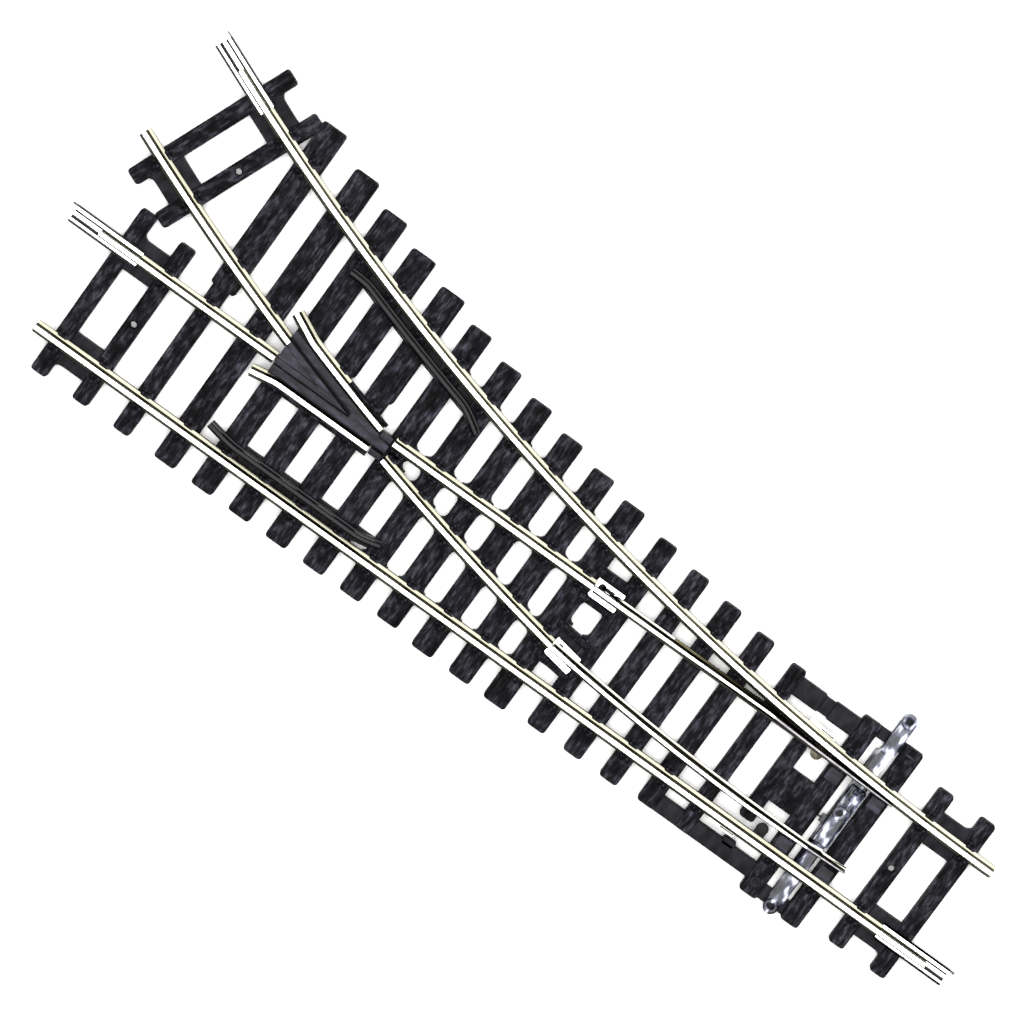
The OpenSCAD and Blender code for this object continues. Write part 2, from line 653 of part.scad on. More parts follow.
clip_z = 1.80;
clip_t = 0.20;
module contact_clip(side, flange_x) {
    // side is 1 for a clip whose ear points to -Y
    strip = 0.95;
    linear_extrude(clip_t) {
        polygon([[30.5, -strip], [40.4, -strip], [40.4, strip], [30.5, strip]]);
        polygon([[flange_x, 0], [flange_x + 5.2, 0], [flange_x + 5.0, side * 1.7],
            [flange_x + 0.2, side * 1.7]]);
        polygon([[31.3, 0], [33.3, 0], [33.3, -side * 2.15], [31.3, -side * 2.15]]);
        translate([32.3, -side * 2.15]) circle(r = 1.0);
    }
    translate([30.5, -0.7, clip_t - eps]) cube([9.9, 1.4, seat_z - clip_z - clip_t + eps]);
}

module straight_contact_clip() color(bronze) translate([0, half_pitch, clip_z]) contact_clip(1, 35);

module curved_contact_clip() color(bronze) {
    middle = 35;
    a = arc_angle(middle, inner_r);
    translate([middle, arc_y(middle, inner_r), clip_z]) rotate([0, 0, -a]) translate([-middle, 0, 0])
        contact_clip(-1, 31.4);
}

strap_w = 1.1;
strap_t = 0.25;
strap_tabs_x = [111.2, 139.4];
strap_a_z = 1.15;
strap_b_z = 0.45;

module straight_jumper_strap() color(bronze) translate([0, -half_pitch, 0]) {
    block(strap_tabs_x[0] - 0.15, strap_tabs_x[1] + 0.15, -strap_w / 2, strap_w / 2,
        strap_a_z, strap_a_z + strap_t);
    for (x = strap_tabs_x) block(x - 0.15, x + 0.15, -strap_w / 2, strap_w / 2, strap_a_z, seat_z);
}

strap_b0 = [strap_tabs_x[0], arc_y(strap_tabs_x[0], outer_r)];
strap_b1 = [strap_tabs_x[1], arc_y(strap_tabs_x[1], outer_r)];
strap_b_len = norm(strap_b1 - strap_b0);
strap_b_angle = atan2(strap_b1[1] - strap_b0[1], strap_b1[0] - strap_b0[0]);
module curved_strap_frame() translate([strap_b0[0], strap_b0[1], 0]) rotate([0, 0, strap_b_angle]) children();

module curved_jumper_strap() color(bronze) curved_strap_frame() {
    block(-0.15, strap_b_len + 0.15, -strap_w / 2, strap_w / 2, strap_b_z, strap_b_z + strap_t);
    for (x = [0, strap_b_len]) block(x - 0.15, x + 0.15, -strap_w / 2, strap_w / 2, strap_b_z, seat_z);
}

sleeper_base();
straight_stock_rail();
curved_stock_rail();
straight_closure_rail();
curved_closure_rail();
straight_wing_rail();
curved_wing_rail();
straight_vee_rail();
curved_vee_rail();
crossing_insert();
straight_check_rail();
curved_check_rail();
straight_switch_blade();
curved_switch_blade();
straight_blade_lug();
curved_blade_lug();
tie_bar();
over_centre_spring();
straight_pivot_joiner();
curved_pivot_joiner();
straight_pivot_pin();
curved_pivot_pin();
toe_rail_joiner();
heel_rail_joiner();
diverging_rail_joiner();
straight_contact_clip();
curved_contact_clip();
straight_jumper_strap();
curved_jumper_strap();
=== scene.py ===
"""Looks of a right-hand model railway turnout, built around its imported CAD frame.

Lengths are in millimetres in the frame's own axes: X runs along the straight route from the
toe, Y to the left and Z up. build() turns them into metres. Every piece keeps a "grain"
attribute with its own coordinates (across, along, up), which its material is drawn in.
"""
import json
import math

import bmesh
import bpy
from mathutils import Matrix, Vector, noise


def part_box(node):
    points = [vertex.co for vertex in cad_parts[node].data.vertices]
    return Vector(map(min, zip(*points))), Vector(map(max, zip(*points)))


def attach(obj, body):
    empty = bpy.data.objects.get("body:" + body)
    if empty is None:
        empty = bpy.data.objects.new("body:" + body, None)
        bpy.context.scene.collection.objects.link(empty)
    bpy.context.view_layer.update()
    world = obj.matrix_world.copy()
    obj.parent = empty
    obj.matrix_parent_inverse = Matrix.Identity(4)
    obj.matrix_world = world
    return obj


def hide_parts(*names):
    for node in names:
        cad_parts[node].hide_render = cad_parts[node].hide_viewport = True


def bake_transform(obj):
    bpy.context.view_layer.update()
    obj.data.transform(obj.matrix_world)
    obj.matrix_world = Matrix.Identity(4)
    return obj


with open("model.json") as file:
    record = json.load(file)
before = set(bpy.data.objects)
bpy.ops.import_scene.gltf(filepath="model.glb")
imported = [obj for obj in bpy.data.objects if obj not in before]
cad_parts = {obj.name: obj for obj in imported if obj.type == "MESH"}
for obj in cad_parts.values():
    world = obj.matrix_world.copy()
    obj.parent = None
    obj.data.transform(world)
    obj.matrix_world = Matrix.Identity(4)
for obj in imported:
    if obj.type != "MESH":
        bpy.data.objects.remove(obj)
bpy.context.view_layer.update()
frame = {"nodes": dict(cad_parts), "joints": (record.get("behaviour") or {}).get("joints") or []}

MM = 0.001
SHARP_ANGLE = 32


# ------------------------------------------------------------------ sizes from the frame

def low(node):
    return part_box(node)[0] / MM


def high(node):
    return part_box(node)[1] / MM


def centre(node):
    return (low(node) + high(node)) / 2


ROUTE_ANGLE = math.radians(22.5)
STRAIGHT_LEN = high("straight_stock_rail").x
HALF_PITCH = centre("straight_stock_rail").y
SEAT_Z = low("straight_stock_rail").z
RAIL_TOP = high("straight_stock_rail").z
RAIL_H = RAIL_TOP - SEAT_Z
ROUTE_R = STRAIGHT_LEN / math.sin(ROUTE_ANGLE)
INNER_R = ROUTE_R - HALF_PITCH
OUTER_R = ROUTE_R + HALF_PITCH
FOOT_W = high("straight_stock_rail").y - low("straight_stock_rail").y
BLADE_FOOT_W = 1.8
HEAD_W = 1.0
WEB_T = 0.6
FLANGEWAY = 2.9
WING_Y = -HALF_PITCH + FLANGEWAY
WING_R = OUTER_R - FLANGEWAY
CHECK_PITCH = 2.6
CHECK_R = INNER_R + CHECK_PITCH

CLOSURE_START = low("straight_closure_rail").x
CLOSURE_END = high("straight_closure_rail").x
WING_START = low("straight_wing_rail").x
VEE_START = low("straight_vee_rail").x
CURVED_VEE_START = low("curved_vee_rail").x + 0.3
CROSSING_START = low("crossing_insert").x
CROSSING_END = high("crossing_insert").x

TIP_X = low("straight_switch_blade").x
BLADE_HEEL_X = high("straight_switch_blade").x
BAR_X = centre("straight_blade_lug").x
BAR_Z0 = low("tie_bar").z
STRAIGHT_PIVOT = centre("straight_pivot_pin")
CURVED_PIVOT = centre("curved_pivot_pin")
BAR_Y = -2.4
THROW = max(abs(v) for j in frame["joints"] if j["type"] == "slide" for v in j["range_m"]) / MM
OPEN_ANGLE = math.asin(THROW / (STRAIGHT_PIVOT.x - BAR_X))
OPEN_CENTRE = Vector((CURVED_PIVOT.x, CURVED_PIVOT.y, 0))
OPENED = (Matrix.Translation(OPEN_CENTRE) @ Matrix.Rotation(OPEN_ANGLE, 4, "Z")
          @ Matrix.Translation(-OPEN_CENTRE))

# Sleeper base
SLEEPER_H = 2.0
SLEEPER_HALF = 14.65
END_SLEEPER_W = 2.9
BLADE_SLEEPER_W = 3.35
CROSSING_TIMBER_W = 3.95
TOE_X = [4.9, 12.7]
BAR_SLEEPER_X = [20.5, 28.3]
BLADE_X = [35.35 + 6.85 * i for i in range(6)]
PIVOT_SLEEPER_X = 77.05
CROSSING_X = [83.72 + 6.99 * i for i in range(9)]
SPLAY_X = 147.8
HEEL_X = [155.55, 163.3]
DIVERGING_BACK = [12.65, 4.85]
LINK_H = 1.7
CROSSING_TIMBER_REACH = 1.97
PIVOT_TIMBER_REACH = 2.05
GRAIN_SEED, GRAIN_SHIFT = 0.37, 9.0


def arc_y(x, r):
    return math.sqrt(r * r - x * x) - ROUTE_R


def arc_angle(x, r):
    return math.asin(x / r)


DIVERGING_END = (
    Matrix.Translation((ROUTE_R * math.sin(ROUTE_ANGLE), ROUTE_R * (math.cos(ROUTE_ANGLE) - 1), 0))
    @ Matrix.Rotation(-ROUTE_ANGLE, 4, "Z")
)


# ------------------------------------------------------------------ mesh tools

class Shells:
    """Closed shells gathered for one mesh, each point with its grain coordinate."""

    def __init__(self):
        self.points, self.grain, self.faces, self.finish = [], [], [], []

    def add(self, points, grain, faces, finish=0):
        base = len(self.points)
        self.points += [Vector(p) for p in points]
        self.grain += grain
        self.faces += [[base + i for i in face] for face in faces]
        self.finish += [finish] * len(faces)

    def turn(self, matrix, start=0):
        self.points[start:] = [matrix @ p for p in self.points[start:]]


def tube_faces(rings, sides):
    """Faces of a loft through closed rings, with a cap on each end."""
    faces = [list(range(sides - 1, -1, -1))]
    for i in range(rings - 1):
        for k in range(sides):
            n = (k + 1) % sides
            faces.append([i * sides + k, i * sides + n, (i + 1) * sides + n, (i + 1) * sides + k])
    faces.append([(rings - 1) * sides + k for k in range(sides)])
    return faces


def loft(shells, rings, grain=None, finish=0):
    """A closed tube through rings. finish is one material or a function of ring and side."""
    grain = grain or [[tuple(p) for p in ring] for ring in rings]
    sides = len(rings[0])
    faces = tube_faces(len(rings), sides)
    shells.add([p for r in rings for p in r], [g for r in grain for g in r], faces,
               0 if callable(finish) else finish)
    if callable(finish):
        walls = len(faces) - 2
        chosen = [finish(n // sides, n % sides) for n in range(walls)]
        shells.finish[-walls - 1:-1] = chosen


def line(x0, x1, y, step=3.0):
    n = max(1, round((x1 - x0) / step))
    return [(x0 + (x1 - x0) * i / n, y, 0.0) for i in range(n + 1)]


def arc(r, x0, x1, step=1.5):
    """Stations along a rail of the diverging route."""
    a0, a1 = arc_angle(x0, r), arc_angle(x1, r)
    n = max(2, round(r * (a1 - a0) / step))
    angles = [a0 + (a1 - a0) * i / n for i in range(n + 1)]
    return [(r * math.sin(a), r * math.cos(a) - ROUTE_R, -a) for a in angles]


def on_arc(x, r):
    """Station at x on a rail of the diverging route."""
    return (x, arc_y(x, r), -arc_angle(x, r))


def onward(station, length, turn=0.0, step=1.0):
    """Stations that go on from one in a straight line, turned a little."""
    x, y, heading = station
    heading += turn
    n = max(1, round(abs(length) / step))
    return [(x + math.cos(heading) * length * i / n, y + math.sin(heading) * length * i / n, heading)
            for i in range(1, n + 1)]


def spot(station, across, up):
    x, y, heading = station
    return Vector((x - math.sin(heading) * across, y + math.cos(heading) * across, up))


def sweep(shells, profile, path, z=0.0, finish=0):
    """Sweeps a closed profile of (across, up) points along stations."""
    rings, grain, along = [], [], 0.0
    for i, station in enumerate(path):
        if i:
            along += math.dist(path[i - 1][:2], station[:2])
        rings.append([spot(station, a, z + u) for a, u in profile])
        grain.append([(a, along, u) for a, u in profile])
    loft(shells, rings, grain, finish)


def mirrored(side):
    """A profile with the given right side, from the foot up, and its mirror image."""
    return side + [(-a, u) for a, u in reversed(side) if a > 1e-6]


def ribbon(points, thickness):
    """Closed profile of a folded strip that follows points."""
    left, right = [], []
    for i, p in enumerate(points):
        a, b = Vector(points[max(i - 1, 0)]), Vector(points[min(i + 1, len(points) - 1)])
        d = (b - a).normalized() * thickness / 2
        left.append((p[0] - d.y, p[1] + d.x))
        right.append((p[0] + d.y, p[1] - d.x))
    return left + right[::-1]


def inset(outline, distance):
    """An anticlockwise outline moved inwards."""
    moved = []
    for i, p in enumerate(outline):
        p = Vector(p)
        e1 = (p - Vector(outline[i - 1])).normalized()
        e2 = (Vector(outline[(i + 1) % len(outline)]) - p).normalized()
        n1, n2 = Vector((-e1.y, e1.x)), Vector((-e2.y, e2.x))
        moved.append(p + (n1 + n2) * distance / max(0.35, 1 + n1.dot(n2)))
    return moved


def rounded(outline, radius, steps=4):
    """An outline with each corner turned into a curve."""
    smooth = []
    for i, p in enumerate(outline):
        p = Vector(p)
        a, b = Vector(outline[i - 1]), Vector(outline[(i + 1) % len(outline)])
        reach_a = min(radius, (a - p).length * 0.48)
        reach_b = min(radius, (b - p).length * 0.48)
        start, end = p + (a - p).normalized() * reach_a, p + (b - p).normalized() * reach_b
        for k in range(steps + 1):
            t = k / steps
            smooth.append(start * (1 - t) ** 2 + p * 2 * t * (1 - t) + end * t * t)
    return smooth


def quarter(steps, first=0):
    """Angles up to a right angle in equal steps."""
    return [math.pi / 2 * k / steps for k in range(first, steps + 1)]


def slab(shells, outline, z0, z1, edge=0.12, steps=3, finish=0):
    """A plate with a rounded top edge. Its outline runs anticlockwise."""
    levels = [(0.0, z0), (0.0, z1 - edge)]
    for a in quarter(steps, 1):
        levels.append((edge * (1 - math.cos(a)), z1 - edge + edge * math.sin(a)))
    rings = [[Vector((p[0], p[1], z)) for p in inset(outline, d)] for d, z in levels]
    loft(shells, rings, finish=finish)


def rectangle(x0, x1, y0, y1):
    return [(x0, y0), (x1, y0), (x1, y1), (x0, y1)]


def circle(x, y, r, sides=32):
    return [(x + r * math.cos(2 * math.pi * k / sides), y + r * math.sin(2 * math.pi * k / sides))
            for k in range(sides)]


def hoop(shells, x, y, section, sides=36, finish=0):
    """A closed section of (radius, height) points turned about an upright axis."""
    n = len(section)
    points, faces = [], []
    for i in range(sides):
        a = 2 * math.pi * i / sides
        points += [Vector((x + r * math.cos(a), y + r * math.sin(a), z)) for r, z in section]
        for k in range(n):
            j, m = (i + 1) % sides, (k + 1) % n
            faces.append([i * n + k, i * n + m, j * n + m, j * n + k])
    shells.add(points, [tuple(p) for p in points], faces, finish)


def smooth_step(t):
    t = min(1.0, max(0.0, t))
    return t * t * (3 - 2 * t)


def within(value, a, b, blur=0.12):
    """1 between a and b, fading to 0 over blur on either side."""
    return smooth_step((value - a) / blur + 0.5) * smooth_step((b - value) / blur + 0.5)


def wander(u, v, seed):
    """Noise from -1 to 1."""
    return noise.noise(Vector((u, v, seed)))


def build(name, shells, body, nodes, materials):
    """Makes a piece from shells, rides it on its body and hides the CAD nodes that it replaces."""
    mesh = bpy.data.meshes.new(name)
    mesh.from_pydata([p * MM for p in shells.points], [], shells.faces)
    edit = bmesh.new()
    edit.from_mesh(mesh)
    bmesh.ops.recalc_face_normals(edit, faces=edit.faces)
    edit.to_mesh(mesh)
    edit.free()
    grain = mesh.attributes.new("grain", "FLOAT_VECTOR", "POINT")
    grain.data.foreach_set("vector", [c for g in shells.grain for c in g])
    for m in materials:
        mesh.materials.append(m)
    mesh.polygons.foreach_set("material_index", shells.finish)
    mesh.polygons.foreach_set("use_smooth", [True] * len(mesh.polygons))
    mesh.set_sharp_from_angle(angle=math.radians(SHARP_ANGLE))
    piece = bpy.data.objects.new(name, mesh)
    bpy.context.scene.collection.objects.link(piece)
    if body:
        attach(piece, body)
    if nodes:
        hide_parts(*nodes)
    return piece


# ------------------------------------------------------------------ materials

def start_material(name, colour, metallic, roughness, specular=0.5):
    made = bpy.data.materials.new(name)
    made.use_nodes = True
    shader = made.node_tree.nodes["Principled BSDF"]
    shader.inputs["Base Color"].default_value = (*colour, 1)
    shader.inputs["Metallic"].default_value = metallic
    shader.inputs["Roughness"].default_value = roughness
    shader.inputs["Specular IOR Level"].default_value = specular
    return made, made.node_tree, shader


def grain_place(tree):
    """The grain that each point of a piece keeps, in millimetres."""
    source = tree.nodes.new("ShaderNodeAttribute")
    source.attribute_name = "grain"
    return source.outputs["Vector"]


def parts_of(tree, vector):
    node = tree.nodes.new("ShaderNodeSeparateXYZ")
    tree.links.new(vector, node.inputs["Vector"])
    return node.outputs


def facing_up(tree):
    """How far a surface faces up, from -1 to 1."""
    return parts_of(tree, tree.nodes.new("ShaderNodeNewGeometry").outputs["Normal"])["Z"]


def grain_noise(tree, scale, detail=4.0, roughness=0.55, by_grain=True):
    """Noise in a piece's grain coordinates, in millimetres, or in its object coordinates, in metres."""
    vector = grain_place(tree) if by_grain else tree.nodes.new("ShaderNodeTexCoord").outputs["Object"]
    mapping = tree.nodes.new("ShaderNodeMapping")
    mapping.inputs["Scale"].default_value = scale
    tree.links.new(vector, mapping.inputs["Vector"])
    texture = tree.nodes.new("ShaderNodeTexNoise")
    texture.inputs["Scale"].default_value = 1.0
    texture.inputs["Detail"].default_value = detail
    texture.inputs["Roughness"].default_value = roughness
    tree.links.new(mapping.outputs["Vector"], texture.inputs["Vector"])
    return texture.outputs["Fac"]


def ramp(tree, value, stops):
    node = tree.nodes.new("ShaderNodeValToRGB")
    elements = node.color_ramp.elements
    while len(elements) < len(stops):
        elements.new(0.5)
    for element, (position, colour) in zip(elements, stops):
        element.position = position
        element.color = (*colour, 1)
    tree.links.new(value, node.inputs["Fac"])
    return node.outputs["Color"]


def spread(tree, value, low_in, high_in, low_out, high_out):
    node = tree.nodes.new("ShaderNodeMapRange")
    for key, number in zip(("From Min", "From Max", "To Min", "To Max"),
                           (low_in, high_in, low_out, high_out)):
        node.inputs[key].default_value = number
    tree.links.new(value, node.inputs["Value"])
    return node.outputs["Result"]


def mix(tree, amount, a, b, blend="MIX"):
    node = tree.nodes.new("ShaderNodeMix")
    node.data_type = "RGBA"
    node.blend_type = blend
    for socket, value in ((node.inputs[0], amount), (node.inputs[6], a), (node.inputs[7], b)):
        if isinstance(value, (int, float)):
            socket.default_value = value
        elif isinstance(value, tuple):
            socket.default_value = (*value, 1)
        else:
            tree.links.new(value, socket)
    return node.outputs[2]


def bump(tree, shader, height, distance, strength=1.0, under=None):
    node = tree.nodes.new("ShaderNodeBump")
    node.inputs["Distance"].default_value = distance * MM
    node.inputs["Strength"].default_value = strength
    tree.links.new(height, node.inputs["Height"])
    if under:
        tree.links.new(under, node.inputs["Normal"])
    tree.links.new(node.outputs["Normal"], shader.inputs["Normal"])
    return node.outputs["Normal"]


def sleeper_plastic():
    """Matte black moulding with a timber grain that runs along each sleeper."""
    made, tree, shader = start_material("sleeper_plastic", (0.008, 0.008, 0.01), 0, 0.62, 0.06)
    streaks = grain_noise(tree, (1.9, 0.5, 1.2), 6.0, 0.66)
    blotches = grain_noise(tree, (0.7, 0.38, 0.8), 3.0, 0.55)
    streak_colour = ramp(tree, streaks, [(0.34, (0.0015, 0.0015, 0.002)), (0.5, (0.006, 0.006, 0.008)),
                                         (0.67, (0.038, 0.038, 0.046))])
    blotch_colour = ramp(tree, blotches, [(0.34, (0.28, 0.28, 0.27)), (0.66, (1.7, 1.7, 1.8))])
    tree.links.new(mix(tree, 1.0, streak_colour, blotch_colour, "MULTIPLY"), shader.inputs["Base Color"])
    tree.links.new(spread(tree, streaks, 0.3, 0.7, 0.74, 0.5), shader.inputs["Roughness"])
    fine = grain_noise(tree, (7.0, 3.2, 5.0), 5.0, 0.65)
    coarse = bump(tree, shader, streaks, 0.14, 0.8)
    bump(tree, shader, fine, 0.035, 0.7, coarse)
    return made


def smooth_plastic(name, dark, light, roughness, specular, scale=(0.5, 0.5, 0.5)):
    """Smooth moulding with faint flow marks."""
    made, tree, shader = start_material(name, light, 0, roughness, specular)
    flow = grain_noise(tree, scale, 3.0, 0.5)
    tree.links.new(ramp(tree, flow, [(0.35, dark), (0.65, light)]), shader.inputs["Base Color"])
    fine = grain_noise(tree, (6.0, 6.0, 6.0), 4.0, 0.6)
    tree.links.new(spread(tree, fine, 0.3, 0.7, roughness * 0.85, roughness * 1.2),
                   shader.inputs["Roughness"])
    first = bump(tree, shader, flow, 0.02, 0.8)
    bump(tree, shader, fine, 0.008, 0.6, first)
    return made


def crossing_plastic():
    """Blue-grey semi-gloss moulding with flow marks. Faces that point up keep their colour; steep faces are
    painted near-black as shade.
    """
    made, tree, shader = start_material("crossing_plastic", (0.02, 0.021, 0.03), 0, 0.42, 0.16)
    flow = grain_noise(tree, (0.35, 0.9, 0.6), 4.0, 0.55)
    colour = ramp(tree, flow, [(0.38, (0.004, 0.004, 0.006)), (0.52, (0.013, 0.013, 0.020)),
                              (0.68, (0.036, 0.036, 0.056))])
    # painted shade: steep faces are mixed towards near-black
    upright = spread(tree, facing_up(tree), 0.4, 0.9, 1.0, 0.0)
    tree.links.new(mix(tree, upright, colour, (0.0015, 0.0015, 0.002)), shader.inputs["Base Color"])
    fine = grain_noise(tree, (5.0, 5.0, 5.0), 4.0, 0.6)
    tree.links.new(spread(tree, fine, 0.3, 0.7, 0.34, 0.52), shader.inputs["Roughness"])
    bump(tree, shader, fine, 0.012, 0.7)
    return made


def rail_metal(name, shade, edge):
    """Drawn nickel silver with light and shade painted in: the head's top keeps the bright metal colour, the
    outer foot edge is painted a dimmer lit tone, and the web, the foot beside it and every steep side are
    painted dark olive as shade, mottled with stains.
    """
    made, tree, shader = start_material(name, (0.8, 0.78, 0.7), 1, 0.25)
    place = parts_of(tree, grain_place(tree))
    lines = grain_noise(tree, (7.0, 0.12, 5.0), 5.0, 0.6)
    stains = grain_noise(tree, (0.9, 0.16, 1.2), 4.0, 0.6)
    bright = ramp(tree, lines, [(0.3, (0.80, 0.79, 0.74)), (0.6, (0.93, 0.92, 0.88))])
    # painted shade: a dark olive tone, mottled with stains, for the web and steep sides
    painted_shade_tone = ramp(tree, stains, [(0.3, tuple(c * 0.5 for c in shade)), (0.55, shade),
                               (0.75, tuple(c * 1.8 for c in shade))])
    # painted light: a dimmer lit tone for the outer foot edge
    foot = ramp(tree, stains, [(0.3, tuple(c * 0.8 for c in edge)), (0.6, edge)])
    width = tree.nodes.new("ShaderNodeMath")
    width.operation = "ABSOLUTE"
    tree.links.new(place["X"], width.inputs[0])
    # faces that point up keep a lit colour; steeper faces get the painted shade
    lit_top = spread(tree, facing_up(tree), 0.78, 0.92, 0.0, 1.0)
    is_high = spread(tree, place["Z"], RAIL_H - 0.45, RAIL_H - 0.3, 0.0, 1.0)
    # next to the web the foot gets the painted shade, further out the painted lit tone
    is_edge = spread(tree, width.outputs[0], 0.52, 0.63, 0.0, 1.0)
    low_flat = mix(tree, is_edge, painted_shade_tone, foot)
    top = mix(tree, is_high, low_flat, bright)
    tree.links.new(mix(tree, lit_top, painted_shade_tone, top), shader.inputs["Base Color"])
    tree.links.new(spread(tree, lines, 0.3, 0.7, 0.2, 0.34), shader.inputs["Roughness"])
    bump(tree, shader, lines, 0.005, 0.5)
    return made


def bar_plastic():
    """Glossy blue-grey moulding. White and near-black blotches in its colour are painted highlights and
    shade, and the side next to the spring is painted darker as shade.
    """
    made, tree, shader = start_material("tie_bar_plastic", (0.06, 0.065, 0.09), 0, 0.25, 0.35)
    cloud = grain_noise(tree, (0.75, 0.33, 0.5), 2.0, 0.5)
    # painted highlights and shade: white and near-black blotches stand in for reflections
    painted_highlights = ramp(tree, cloud, [(0.38, (0.006, 0.007, 0.012)), (0.48, (0.035, 0.037, 0.062)),
                                 (0.55, (0.15, 0.155, 0.22)), (0.62, (0.8, 0.8, 0.88))])
    # painted shade: the side next to the spring is darkened
    shade = spread(tree, parts_of(tree, grain_place(tree))["X"], BAR_X + 0.2, BAR_X + 1.0, 1.0, 0.25)
    tree.links.new(mix(tree, 1.0, painted_highlights, shade, "MULTIPLY"), shader.inputs["Base Color"])
    fine = grain_noise(tree, (5.0, 5.0, 5.0), 3.0, 0.5)
    tree.links.new(spread(tree, fine, 0.3, 0.7, 0.2, 0.32), shader.inputs["Roughness"])
    ripple = grain_noise(tree, (0.6, 0.4, 0.5), 0.5, 0.4)
    bump(tree, shader, ripple, 0.5, 1.0)
    return made


def sheet_metal(name, dark, light, roughness, scratch=(9.0, 0.5, 9.0)):
    """Folded or stamped sheet with a fine directional finish. Faces that do not point up are painted
    near-black as shade.
    """
    made, tree, shader = start_material(name, light, 1, roughness)
    lines = grain_noise(tree, scratch, 5.0, 0.6)
    cloud = grain_noise(tree, (0.8, 0.8, 0.8), 3.0, 0.5)
    base = ramp(tree, cloud, [(0.35, dark), (0.65, light)])
    shine = ramp(tree, lines, [(0.3, (0.88, 0.88, 0.88)), (0.7, (1.0, 1.0, 1.0))])
    lit_top = spread(tree, facing_up(tree), 0.88, 0.975, 0.0, 1.0)
    # painted shade: near-black for faces that do not point up
    side = tuple(c * 0.04 for c in dark)
    tree.links.new(mix(tree, lit_top, side, mix(tree, 1.0, base, shine, "MULTIPLY")),
                   shader.inputs["Base Color"])
    tree.links.new(spread(tree, lines, 0.3, 0.7, roughness * 0.8, roughness * 1.4),
                   shader.inputs["Roughness"])
    bump(tree, shader, lines, 0.006, 0.6)
    return made


def floor_paper():
    made, tree, shader = start_material("floor_paper", (0.97, 0.97, 0.96), 0, 0.85, 0.2)
    fibres = grain_noise(tree, (40.0, 40.0, 40.0), 3.0, 0.5, by_grain=False)
    tree.links.new(ramp(tree, fibres, [(0.3, (0.955, 0.955, 0.945)), (0.7, (0.985, 0.985, 0.975))]),
                   shader.inputs["Base Color"])
    return made


SLEEPER = sleeper_plastic()
LINK = smooth_plastic("link_plastic", (0.003, 0.003, 0.004), (0.014, 0.014, 0.018), 0.55, 0.08,
                      scale=(0.6, 0.3, 0.5))
CROSSING = crossing_plastic()
CHECK = smooth_plastic("check_rail_plastic", (0.0015, 0.0015, 0.002), (0.004, 0.004, 0.006), 0.28, 0.17)
BAR = bar_plastic()
# Rail metals: the second colour is painted shade for the web and steep sides, the third a painted lit tone
# for the outer foot edge.
RAIL = rail_metal("rail_metal", (0.024, 0.022, 0.010), (0.27, 0.265, 0.20))
# The blades' copy paints their webs darker still and their foot edges brighter.
BLADE = rail_metal("blade_metal", (0.006, 0.0055, 0.003), (0.52, 0.51, 0.44))
# Dim grey painted on the planed head near each blade's tip, as shade where its top catches less light.
PLANED_SHADE = sheet_metal("planed_head_painted_shade", (0.19, 0.18, 0.19), (0.30, 0.285, 0.30), 0.42, (6.0, 0.3, 6.0))
# The curved stock rail's copy paints lighter shade on its web.
PALE_RAIL = rail_metal("pale_rail_metal", (0.085, 0.082, 0.05), (0.30, 0.295, 0.23))
DULL_RAIL = rail_metal("dull_rail_metal", (0.020, 0.018, 0.009), (0.085, 0.078, 0.045))
# Near-black plastic for pieces that stand in for shade: discs in the tie bar's holes, strips in the joiners'
# folds, marks on the pivot plates, the crossing's groove floors, a strip beside each clip's flange and the
# straight clip's ear.
PAINTED_SHADE = smooth_plastic("painted_shade_plastic", (0.003, 0.003, 0.003), (0.006, 0.006, 0.007), 0.5, 0.15)
STEEL = sheet_metal("bright_steel", (0.80, 0.80, 0.77), (0.93, 0.93, 0.90), 0.2)
# A pale copy of the bronze, painted light for the contact clips' flanges.
LIT_BRONZE = sheet_metal("lit_bronze_copy", (0.5, 0.49, 0.44), (0.7, 0.69, 0.64), 0.3)
BRONZE = sheet_metal("phosphor_bronze", (0.05, 0.046, 0.033), (0.13, 0.12, 0.09), 0.42)


# ------------------------------------------------------------------ camera, light and floor

LOOK_AT = Vector((91.85, -10.39, 0))
CAMERA_DISTANCE = 784.74
CAMERA_AZIMUTH = math.radians(8.792)
CAMERA_ELEVATION = math.radians(82.42)
CAMERA_ROLL = math.radians(153.02)
CAMERA_LENS = 180.24


def add_camera():
    camera = bpy.data.objects.new("camera", bpy.data.cameras.new("camera"))
    camera.data.lens = CAMERA_LENS
    camera.data.sensor_width = 36
    flat = math.cos(CAMERA_ELEVATION)
    back = Vector((math.sin(CAMERA_AZIMUTH) * flat, -math.cos(CAMERA_AZIMUTH) * flat,
                   math.sin(CAMERA_ELEVATION)))
    level_up = (Vector((0, 0, 1)) - back * back.z).normalized()
    up = level_up * math.cos(CAMERA_ROLL) + level_up.cross(back) * math.sin(CAMERA_ROLL)
    placed = Matrix((up.cross(back), up, back)).transposed().to_4x4()
    placed.translation = (LOOK_AT + back * CAMERA_DISTANCE) * MM
    camera.matrix_world = placed
    bpy.context.scene.collection.objects.link(camera)
    bpy.context.scene.camera = camera


def add_softbox(name, place, aim, width, depth, power):
    """A rectangular soft light. Its place and size are in metres."""
    lamp = bpy.data.lights.new(name, "AREA")
    lamp.shape = "RECTANGLE"
    lamp.size, lamp.size_y = width, depth
    lamp.energy = power
    box = bpy.data.objects.new(name, lamp)
    box.location = place
    box.rotation_mode = "QUATERNION"
    box.rotation_quaternion = (Vector(place) - Vector(aim)).to_track_quat("Z", "Y")
    bpy.context.scene.collection.objects.link(box)


